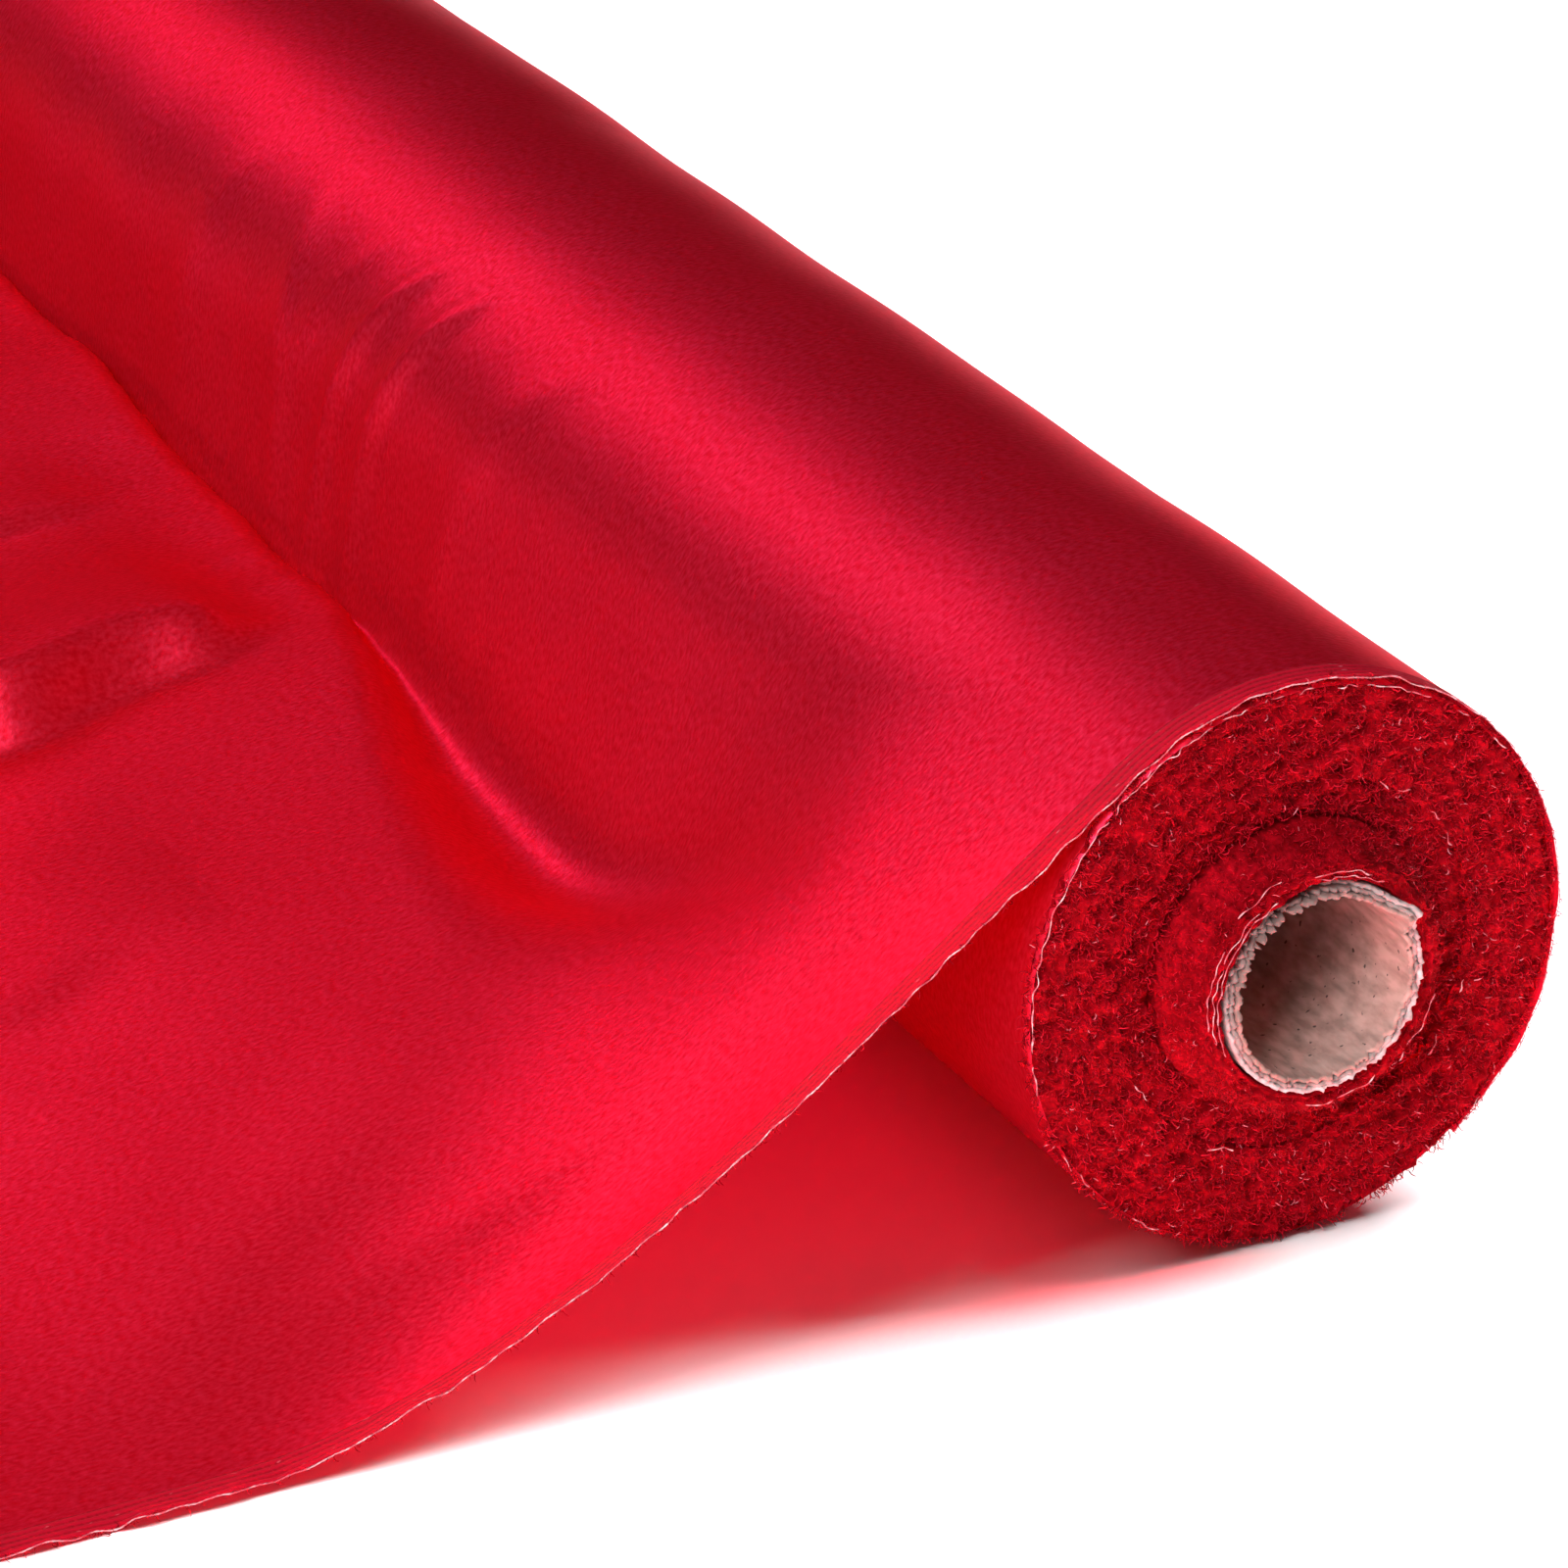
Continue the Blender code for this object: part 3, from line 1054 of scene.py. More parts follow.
@dataclass
class Drape:
    """The surface that the last turn and the cloth paid off it lie on."""

    bolt: Bolt
    wrap_clearance: float = 0.0006
    wrap_start: float = math.radians(-50)
    drop_start: float = math.radians(122)
    tuck: float = 0.0008
    landing_out: float = 0.255
    landing_round: float = 0.030
    floor_z: float = 0.0005
    dip_place: float = 0.38
    dip_depth: float = 0.015
    dip_round: float = 0.018
    dip_from_edge: float = 0.04
    dip_growth: float = 0.135
    crest_out: float = 0.063
    crest_out_at_edge: float = 0.115
    crest_fade: float = 0.110
    crest_low: float = 0.003
    crest_height: float = 0.030
    crest_growth: float = 0.060
    crest_round: float = 0.006
    crest_round_at_edge: float = 0.100
    crest_round_fade: float = 0.076
    knot_push: float = 0.0035
    knot_place: float = 0.310
    knot_width: float = 0.016
    crest_bows: Tuple[Triple, ...] = (
        (0.190, 0.0180, 0.075),
        (0.400, 0.0075, 0.070),
        (0.880, 0.0060, 0.090),
        (1.300, 0.0140, 0.080),
    )
    ridges: Tuple[Ridge, ...] = (
        Ridge(0.072, 0.309, 0.0185, 0.016, 0.060, -0.03),
        Ridge(0.086, 0.404, 0.0060, 0.010, 0.035, -0.05),
        Ridge(0.150, 0.196, 0.0030, 0.020, 0.050, -0.12),
        Ridge(0.090, 0.760, 0.0060, 0.020, 0.060, 0.10),
        Ridge(0.110, 1.060, 0.0080, 0.024, 0.070, -0.15),
        Ridge(0.100, 1.290, 0.0040, 0.016, 0.050, 0.12),
    )
    pleats: Tuple[Pleat, ...] = (
        Pleat(0.312, 0.352, 0.0022, 0.0056),
        Pleat(0.288, 0.328, 0.0023, 0.0058),
        Pleat(0.236, 0.282, 0.0009, 0.0110),
        Pleat(0.392, 0.366, 0.0008, 0.0080),
        Pleat(0.420, 0.440, 0.0009, 0.0110),
        Pleat(0.336, 0.378, 0.0006, 0.0060),
        Pleat(0.690, 0.725, 0.0012, 0.0100),
        Pleat(0.960, 1.000, 0.0013, 0.0110),
        Pleat(1.180, 1.150, 0.0010, 0.0090),
    )

    @property
    def radius(self) -> float:
        """How far from the axis the last turn lies."""
        return self.bolt.radius + self.wrap_clearance

    @property
    def level(self) -> float:
        """The height of the lying cloth, from the axis."""
        return self.floor_z - self.bolt.axis_z

    def dipped(self, y: np.ndarray) -> np.ndarray:
        """How far the dip is formed, from 0 at the cloth's edges to 1 well inside them."""
        return ease((self.bolt.from_edge(y) - self.dip_from_edge) / self.dip_growth)

    def leaving(self, target: np.ndarray) -> np.ndarray:
        """The angle at which a straight line to each target leaves the roll."""
        away = np.linalg.norm(target, axis=1)
        return np.mod(np.arctan2(target[:, 1], target[:, 0]), TURN) - np.arccos(self.radius / away)

    def crest(self, y: np.ndarray) -> Tuple[np.ndarray, np.ndarray]:
        """The top of the crease at the foot of the drop.

        Args:
            y: Places along the roll.

        Returns:
            Its points, out and up from the axis, and the length that its bend takes.
        """
        near = y - self.bolt.near_y
        edge = np.clip(self.bolt.from_edge(y), 0.0, None)
        reach = self.crest_out + self.crest_out_at_edge * np.exp(-edge / self.crest_fade)
        for place, push, width in self.crest_bows:
            reach = reach + push * bump(near - place, width)
        knot = self.knot_push * ease((self.knot_place - near) / self.knot_width)
        reach = reach + knot * ease(near / 0.2)
        settled = ease((edge - 0.10) / 0.15)
        reach = reach + settled * (0.00022 * wander(5, 0.030, y) + 0.0009 * wander(6, 0.140, y))
        height = self.crest_low + self.crest_height * (1 - np.exp(-((edge / self.crest_growth) ** 2)))
        height = height + settled * 0.0015 * wander(7, 0.120, y)
        at_edge = np.exp(-((edge / self.crest_round_fade) ** 1.5))
        rounding = self.crest_round + self.crest_round_at_edge * at_edge
        return np.stack([-reach, height + self.level], axis=1), rounding

    def valley(self, y: np.ndarray, crest: np.ndarray) -> np.ndarray:
        """The bottom of the dip between the roll and the crest of the crease.

        Args:
            y: Places along the roll.
            crest: The crest at each place, from the axis.

        Returns:
            The bottom at each place, from the axis.
        """
        radius, leave = self.radius, self.leaving(crest)
        on_line = crest + 0.6 * (radius * np.stack([np.cos(leave), np.sin(leave)], axis=1) - crest)
        out = radius + 0.001 + self.dip_place * (-crest[:, 0] - radius)
        deep = np.stack([-out, crest[:, 1] - self.dip_depth], axis=1)
        share = self.dipped(y)[:, None]
        lowest = on_line * (1 - share) + deep * share
        distance = np.linalg.norm(lowest, axis=1)[:, None]
        return lowest * np.maximum(1.0, (radius + 0.001) / distance)

    def section(self, y: np.ndarray) -> Tuple[np.ndarray, np.ndarray]:
        """The smooth line across the cloth at each place along the roll, without its folds.

        Args:
            y: Places along the roll.

        Returns:
            The points, as rows of sections, and the share of the drop that each is down.
        """
        bolt, radius, count = self.bolt, self.radius, STRETCHES
        crest, rounding = self.crest(y)
        valley = self.valley(y, crest)
        leave = self.leaving(valley)

        share = np.linspace(0, 1, count["wrap"])[None, :]
        share = share + 0.07 * np.sin(math.pi * share)
        angle = self.wrap_start + (leave[:, None] - self.wrap_start) * share
        sunk = radius - self.tuck * (1 - ease((angle - self.wrap_start) / math.radians(22)))
        wrap = np.stack([sunk * np.cos(angle), sunk * np.sin(angle)], axis=-1)

        top = wrap[:, -1]
        landing, fold, cut = (
            np.repeat([[out, self.level]], len(y), axis=0)
            for out in (-self.landing_out, bolt.fold_x - bolt.axis_x, bolt.cut_x + 0.002 - bolt.axis_x)
        )

        def towards(start: np.ndarray, end: np.ndarray, step: np.ndarray, most: np.ndarray) -> np.ndarray:
            """A point a step from start towards end, or at most this share of the way."""
            way = np.linalg.norm(end - start, axis=1)
            return start + (end - start) / way[:, None] * np.minimum(step, most * way)[:, None]

        def straight(start: np.ndarray, end: np.ndarray, steps: int) -> np.ndarray:
            """Points on a straight line, without the first one."""
            t = (np.arange(1, steps + 1) / steps)[None, :, None]
            return start[:, None] * (1 - t) + end[:, None] * t

        def bend(start: np.ndarray, middle: np.ndarray, end: np.ndarray, steps: int) -> np.ndarray:
            """Points on a quadratic curve, without the first one."""
            t = (np.arange(1, steps + 1) / steps)[None, :, None]
            return start[:, None] * (1 - t) ** 2 + middle[:, None] * 2 * t * (1 - t) + end[:, None] * t * t

        inside = self.dipped(y)
        dip_round = 0.002 + self.dip_round * inside
        dip_start = towards(valley, top, dip_round, 0.6)
        dip_end = towards(valley, crest, dip_round, 0.45)
        bend_start = towards(crest, valley, rounding, 0.45 + 0.42 * (1 - inside))
        bend_end = towards(crest, landing, rounding, 0.6)
        touch_start = towards(landing, crest, self.landing_round, 1.0)
        touch_end = landing - np.array([[self.landing_round, 0.0]])
        parts = [
            wrap,
            straight(top, dip_start, count["leg"]),
            bend(dip_start, valley, dip_end, count["dip"]),
            straight(dip_end, bend_start, count["rise"]),
            bend(bend_start, crest, bend_end, count["bend"]),
            straight(bend_end, touch_start, count["apron"]),
            bend(touch_start, landing, touch_end, count["landing"]),
            straight(touch_end, fold, count["floor"]),
            straight(fold, cut, count["end"]),
        ]
        flat = np.concatenate(parts, axis=1)
        drop_from = radius * (leave - self.drop_start)[:, None]
        arc = np.cumsum(np.linalg.norm(np.diff(flat[:, count["wrap"] - 1 :], axis=1), axis=2), axis=1)
        reached = np.concatenate([radius * (angle - self.drop_start), drop_from + arc], axis=1)
        drop = np.linalg.norm(top - valley, axis=1) + np.linalg.norm(valley - crest, axis=1)
        return flat, reached / (drop_from + drop[:, None])

    def surface(self, y: np.ndarray) -> np.ndarray:
        """The cloth with all its folds.

        Args:
            y: Places along the roll, in order.

        Returns:
            Its points, rows of sections, in the row frame.
        """
        bolt = self.bolt
        flat, down = self.section(y)
        out = -flat[:, :, 0]
        near = (y - bolt.near_y)[:, None] * np.ones_like(out)
        height = flat[:, :, 1] + bolt.axis_z
        edge = np.minimum(near, bolt.width - near)

        # On the floor and on the slope down to it, folds lift the cloth.
        past_crease = ease((down - 1.0) / 0.25) * ease(edge / 0.05)
        raised = sum(ridge.lift(out, near) for ridge in self.ridges) * past_crease
        rolling = 0.00035 * (1.2 + wander(11, 0.110, out, near)) + 0.00005 * wander(12, 0.030, out, near)
        rolling = rolling * ease((out - 0.11) / 0.06) * (0.25 + 0.75 * ease(edge / 0.06))
        height = height + raised + np.clip(rolling, 0, None)

        points = np.stack([bolt.axis_x - out, near + bolt.near_y, height], axis=-1)
        normal = np.cross(np.gradient(points, axis=1), np.gradient(points, axis=0))
        normal /= np.linalg.norm(normal, axis=2)[:, :, None] + 1e-12
        normal *= np.where(normal[:, :, 2:].mean() < 0, -1.0, 1.0)

        # On the roll and down the drop, wrinkles stand out along the cloth's own normal.
        on_drop = 1 - ease((down - 0.95) / 0.25)
        pleated = sum(pleat.lift(down, near) for pleat in self.pleats) * on_drop
        slack = ease((down - 0.02) / 0.3) * on_drop * ease((edge - 0.12) / 0.15)
        pleated = pleated + slack * 0.00022 * (wander(13, 0.040, near, 0.25 * height) + 0.5)
        around = np.arctan2(height - bolt.axis_z, -out)
        on_roll = ease((around + 0.7) / 0.5) * (1 - ease((around - 1.9) / 0.5)) * (out < bolt.radius)
        buckles = np.clip(0.45 + 0.50 * wander(14, 0.095, near, 0.05 * around), 0, None)
        pleated = pleated + 0.0006 * buckles * on_roll * ease(edge / 0.06)
        return points + normal * pleated[:, :, None]

    def stations(self) -> np.ndarray:
        """Places along the roll between the selvedges, closer where the folds are finest.

        Returns:
            The places, in order.
        """
        inside = self.bolt.selvedge
        last = DRAWN_WIDTH - inside
        spans = ((inside, 0.20, 0.0042), (0.20, 0.43, 0.0024), (0.43, 0.90, 0.0048), (0.90, last, 0.0075))
        places = [np.arange(start, end - step / 2, step) for start, end, step in spans]
        scale = (self.bolt.width - 2 * inside) / (DRAWN_WIDTH - 2 * inside)
        return self.bolt.near_y + inside + (np.concatenate([*places, [last]]) - inside) * scale

    def lengths(self, points: np.ndarray) -> np.ndarray:
        """Arc length along each section from the top of the roll.

        Args:
            points: The cloth, rows of sections.

        Returns:
            The length at each point, below 0 before the top.
        """
        steps = np.linalg.norm(np.diff(points, axis=1), axis=2)
        run = np.concatenate([np.zeros((len(points), 1)), np.cumsum(steps, axis=1)], axis=1)
        top = np.argmax(points[:, :, 2], axis=1)
        return run - run[np.arange(len(points)), top][:, None]


@dataclass
class Cloth:
    """The satin that is off the roll, with its selvedges, edge threads, fringes and cut edge."""

    bolt: Bolt
    wardrobe: Wardrobe
    planter: FibrePlanter
    drape: Drape
    blend_reach: float = 0.030
    edge_ruffle: float = 0.0006
    rib_pitch: float = 0.0016
    thread_plies: int = 2
    thread_twist: float = 0.0024
    thread_radius: float = 0.00009

    def build(self) -> List[bpy.types.Object]:
        """Builds and dresses every piece of it.

        Returns:
            The pieces.
        """
        satin = self._satin()
        extras = []
        for side in Side:
            extras += [self._selvedge(side), self._edge_thread(side), self._fringe(side)]
        extras.append(self._cut_fringe())
        return [satin, *extras]

    def _bend_over_fold(self, obj: bpy.types.Object) -> None:
        """Bakes a piece's transform into its mesh."""
        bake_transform(obj)

    def _satin(self) -> bpy.types.Object:
        """The sheet between the selvedges.

        Returns:
            The piece.
        """
        y = self.drape.stations()
        points = self.drape.surface(y)
        run = self.drape.lengths(points)
        faces = grid_faces(points.shape[0], points.shape[1])
        obj = mesh_object("satin_cloth", points, faces[:, ::-1], self.wardrobe.satin, on_cloth(y, run))
        self.flat_length = float(np.median(run[:, -1] - run[:, 0]))
        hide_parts("cloth_tail", "loose_end")
        self._bend_over_fold(obj)
        return obj

    def edge_rows(self, side: Side, offsets: np.ndarray) -> np.ndarray:
        """Sections of the cloth near one edge, with the edge's own small waves.

        Args:
            side: Which edge.
            offsets: Distances in from the edge, in order.

        Returns:
            The points, one section for each offset.
        """
        y = self.bolt.face_y(side) - side.value * offsets
        padded_y = np.sort(np.concatenate([y, y[-1:] - side.value * 0.0001]))
        rows = self.drape.surface(padded_y)
        rows = rows[[int(np.argmin(np.abs(padded_y - place))) for place in y]]
        run = along(rows[0])
        free = ease((run - run[np.argmax(rows[0][:, 2])]) / 0.08)
        share = ease(1 - offsets / self.bolt.selvedge)[:, None]
        wave = self.edge_ruffle * (wander(21 + side.value, 0.026, run) + 0.5 * wander(22, 0.011, run))
        rows[:, :, 2] += share * (free * wave)[None, :] * 0.8
        rows[:, :, 1] += share * side.value * (0.4 * wave)[None, :]
        rows[:, :, 2] = np.maximum(rows[:, :, 2], 0.0003)
        return rows

    def _selvedge(self, side: Side) -> bpy.types.Object:
        """The ribbed strip along one edge.

        Args:
            side: Which end of the roll it is at.

        Returns:
            The piece.
        """
        offsets = np.linspace(0.0, self.bolt.selvedge, 14)
        rows = self.edge_rows(side, offsets)
        run = self.drape.lengths(rows)
        ribbed = (offsets > 0.0004) * (offsets < self.bolt.selvedge - 0.0004)
        rib = 0.00016 * (1 - np.cos(TURN * offsets / self.rib_pitch)) * ribbed
        rows[:, :, 2] += rib[:, None]
        faces = grid_faces(rows.shape[0], rows.shape[1])
        faces = faces[:, ::-1] if side is Side.NEAR else faces
        name = f"{side.word}_selvedge_strip"
        obj = mesh_object(name, rows, faces, self.wardrobe.selvedge, on_cloth(offsets, run))
        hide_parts(f"{side.word}_selvedge", f"loose_end_{side.word}_selvedge")
        self._bend_over_fold(obj)
        return obj

    def _edge_thread(self, side: Side) -> bpy.types.Object:
        """The pale twisted thread just outside the selvedge.

        Args:
            side: Which end of the roll it is at.

        Returns:
            The piece.
        """
        line = respaced(self.edge_rows(side, np.array([0.0]))[0], 0.0005)
        line[:, 1] += side.value * 0.0003
        run = along(line)
        line[:, 1] += 0.00018 * wander(24 + side.value, 0.009, run)
        line[:, 2] += 0.00018 * wander(27 + side.value, 0.010, run) + 0.0001
        parts = []
        for ply in range(self.thread_plies):
            phase = TURN * (run / self.thread_twist + ply / self.thread_plies)
            offset = np.stack([np.zeros_like(run), np.cos(phase), np.sin(phase)], axis=1)
            girth = self.thread_radius * (1 + 0.4 * wander(40 + ply, 0.006, run))
            girth = np.clip(girth, 0.00006, None)
            parts.append(strand(line + self.thread_radius * offset, girth, 4))
        points, faces = joined(parts)
        points[:, 2] = np.maximum(points[:, 2], 0.00005)
        obj = mesh_object(f"{side.word}_thread_on_edge", points, faces, self.wardrobe.thread)
        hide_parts(f"{side.word}_edge_thread", f"loose_end_{side.word}_thread")
        self._bend_over_fold(obj)
        return obj

    def _fringe(self, side: Side) -> bpy.types.Object:
        """Short loose fibres along and below the edge.

        Args:
            side: Which end of the roll it is at.

        Returns:
            The piece.
        """
        rows = self.edge_rows(side, np.array([0.0, 0.0008]))
        clumps = np.clip(0.55 + 0.45 * wander(50 + side.value, 0.007, along(rows[0])), 0.05, 1.5)
        rows[0, :, 2] -= 0.0003
        way = np.broadcast_to([0.0, side.value, -0.35], rows.shape)
        density = np.stack([clumps, clumps])
        name = f"{side.word}_edge_fringe"
        obj = self.planter.grow(name, rows, way, density, EDGE_PILE, 60 + side.value, rings=False)
        self._bend_over_fold(obj)
        return obj

    def _cut_fringe(self) -> bpy.types.Object:
        """The frayed warp ends at the cloth's cut end.

        Returns:
            The piece.
        """
        y = np.linspace(self.bolt.near_y, self.bolt.far_y, 240)
        last = self.drape.surface(y)[:, -1]
        rows = np.stack([last, last])
        rows[1, :, 0] += 0.0012
        rows[:, :, 2] += 0.0002
        way = np.broadcast_to([-1.0, 0.0, 0.10], rows.shape)
        clumps = np.clip(0.8 + 0.3 * wander(71, 0.012, y), 0.2, 1.5)
        density = np.stack([clumps, clumps])
        obj = self.planter.grow("frayed_cut_edge", rows, way, density, CUT_PILE, 72, rings=False)
        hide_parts("cut_edge")
        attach(obj, "tail_end")
        return obj


# ---------------------------------------------------------------- the roll


@dataclass
class Roll:
    """The wound cloth: its satin skin, its two tufted ends and their pale edge threads."""

    bolt: Bolt
    wardrobe: Wardrobe
    planter: FibrePlanter
    skin_inset: float = 0.0001
    skin_start: float = math.radians(-52)
    winding_step: float = 0.0012
    turn_pitch: float = 0.0034
    turn_relief: float = 0.00035
    tuft_relief: float = 0.00050
    fine_tuft_relief: float = 0.00030
    moat_depth: float = 0.0016
    thread_radius: float = 0.00010
    ragged_radius: float = 0.0518
    near_clearance: float = 0.0002
    far_clearance: float = 0.0024

    def build(self) -> List[bpy.types.Object]:
        """Builds and dresses every piece of it.

        Returns:
            The pieces.
        """
        bolt = self.bolt
        made = [self._skin()]
        for side in Side:
            outer = (bolt.middle_radius, bolt.radius - self.skin_inset, 0.0)
            inner = (bolt.collar_radius + 0.0001, bolt.middle_radius + 0.0006, self.winding_step)
            made += [self._face(side, "outer", outer), self._face(side, "inner", inner)]
            made += self._fibres(side)
            made += [self._thread(side, "rim"), self._thread(side, "middle")]
        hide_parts("outer_winding")
        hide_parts("inner_winding")
        for obj in made:
            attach(obj, "roll")
        return made

    def _skin(self) -> bpy.types.Object:
        """The satin on the outside of the roll.

        Returns:
            The piece.
        """
        bolt = self.bolt
        ends = np.array([0.0, 0.0005, 0.0015, 0.004])
        middle = np.linspace(bolt.near_y + 0.008, bolt.far_y - 0.008, 60)
        y = np.concatenate([bolt.near_y + ends, middle, bolt.far_y - ends[::-1]])
        angle = self.skin_start + np.linspace(0.0, TURN, 257)
        radius = (bolt.radius - self.skin_inset) * np.ones((len(y), len(angle)))
        radius = radius - 0.0009 * np.exp(-bolt.from_edge(y)[:, None] / 0.0008)
        across, up = on_end(0.06, angle)
        radius = radius - 0.00012 * (1 + wander(81, 0.05, y[:, None], across, up))
        points = bolt.around(angle[None, :], radius, y[:, None])
        faces = grid_faces(len(y), len(angle))
        run = angle[None, :] * bolt.radius * np.ones((len(y), 1))
        obj = mesh_object("roll_satin_skin", points, faces, self.wardrobe.satin, on_cloth(y, run))
        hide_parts("outer_turns")
        length = TURN * bolt.radius
        return obj

    def _relief(self, side: Side, angle: np.ndarray, radius: np.ndarray) -> np.ndarray:
        """How far the massed cloth edges stand out of the end at a place on it.

        Args:
            side: Which end of the roll it is at.
            angle: Angles about the axis.
            radius: Distances from the axis.

        Returns:
            The height at each place.
        """
        across, up = on_end(radius, angle)
        seed = 90 + 10 * side.value
        tufts = self.tuft_relief * wander(seed, 0.0042, across, up, waves=11)
        tufts = tufts + self.fine_tuft_relief * wander(seed + 1, 0.0021, across, up, waves=11)
        # The turns show as shallow grooves that wind outwards as they go round.
        drift = 0.8 * wander(seed + 2, 0.02, across, up)
        turns = np.cos(TURN * (radius / self.turn_pitch + angle / TURN) + drift)
        return tufts + self.turn_relief * turns

    def _face(self, side: Side, name: str, span: Triple) -> bpy.types.Object:
        """The tufted end of one winding.

        Args:
            side: Which end of the roll.
            name: Which winding.
            span: Its inner radius, its outer radius and how deep it lies.

        Returns:
            The piece.
        """
        bolt = self.bolt
        inner, outer, depth = span
        radius = np.linspace(inner, outer, max(8, int((outer - inner) / 0.0007)))[:, None]
        angle = ring_angles(320)
        rim = np.exp(-(bolt.radius - radius) / 0.0009)
        # A turn round the collar lies deeper and in shadow.
        moat = self.moat_depth * np.exp(-np.clip(radius - bolt.collar_radius, 0, None) / 0.0020)
        inward = depth + 0.0006 + 0.0010 * rim + moat
        y = bolt.face_y(side) + side.value * (self._relief(side, angle, radius) - inward)
        uneven = 1 + 0.004 * ring_wander(99, 60, angle) * ease((radius - inner) / (outer - inner))
        if name == "outer":
            uneven = np.minimum(uneven, 1.0)
        points = bolt.around(angle, radius * uneven, y)
        faces = grid_faces(len(radius), angle.size, closed_columns=True)
        faces = faces[:, ::-1] if side is Side.NEAR else faces
        obj = mesh_object(f"{side.word}_{name}_windings", points, faces, self.wardrobe.wound)
        return obj

    def _fibres(self, side: Side) -> List[bpy.types.Object]:
        """The curly cut fibres all over one end, and the ragged ones at its rim.

        Args:
            side: Which end of the roll it is at.

        Returns:
            The pieces, from the collar outwards.
        """
        bolt = self.bolt
        made = []
        # At the far end the collar lies deep, and slides out past the tufts.
        clearance = self.near_clearance if side is Side.NEAR else self.far_clearance
        zones = (
            ("inner", bolt.collar_radius + clearance, bolt.middle_radius, self.winding_step),
            ("outer", bolt.middle_radius, self.ragged_radius, 0.0),
            ("rim", self.ragged_radius, bolt.radius - 0.0004, 0.0),
        )
        for number, (name, inner, outer, depth) in enumerate(zones):
            radius, angle = np.meshgrid(np.linspace(inner, outer, 14), ring_angles(220)[0], indexing="ij")
            y = bolt.face_y(side) + side.value * (self._relief(side, angle, radius) - depth - 0.0009)
            spread = 0.15 + 1.7 * ease((radius - 0.0535) / 0.005)[:, :, None]
            way = outwards(angle) * spread + np.array([0.0, side.value, 0.0])
            clumps = 0.75 + 0.45 * wander(110 + number, 0.0060, *on_end(radius, angle))
            clumps = np.clip(clumps, 0.15, 1.6)
            seed = 120 + number + 5 * side.value
            bed = bolt.around(angle, radius, y)
            obj = self.planter.grow(f"{side.word}_{name}_tufts", bed, way, clumps, END_PILE, seed)
            made.append(obj)
        return made

    def _thread(self, side: Side, which: str) -> bpy.types.Object:
        """A pale edge thread that shows among the windings, broken where fibres cover it.

        Args:
            side: Which end of the roll it is at.
            which: Which thread, "rim" or "middle".

        Returns:
            The piece.
        """
        bolt = self.bolt
        rim = which == "rim"
        base = bolt.radius - 0.0010 if rim else bolt.middle_radius + 0.0002
        sway = 0.0 if rim else 0.0005
        proud = 0.0006 if rim else 0.0022 - self.winding_step
        seed = (150 if rim else 160) + side.value
        angle = np.linspace(0.0, TURN, int(TURN * base / 0.0005))
        radius = base + 0.00022 * ring_wander(seed, 22, angle) + sway * ring_wander(seed + 4, 7, angle)
        y = bolt.face_y(side) + side.value * (proud + 0.00025 * ring_wander(seed + 8, 30, angle))
        line = bolt.around(angle, radius, y)
        covered = 0.75 - 2.47 * about(angle, 145, 1.3) if rim else -0.15
        parts = []
        for start, end in runs(ring_wander(seed + 12, 26, angle) > covered):
            if end - start > 6:
                girth = self.thread_radius * (1 + 0.4 * wander(seed, 0.004, along(line[start:end])))
                parts.append(strand(line[start:end], np.clip(girth, 0.00005, None), 5))
        points, faces = joined(parts)
        obj = mesh_object(f"{side.word}_{which}_pale_thread", points, faces, self.wardrobe.thread)
        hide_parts(f"{side.word}_{which}_thread")
        return obj


# ---------------------------------------------------------------- the core


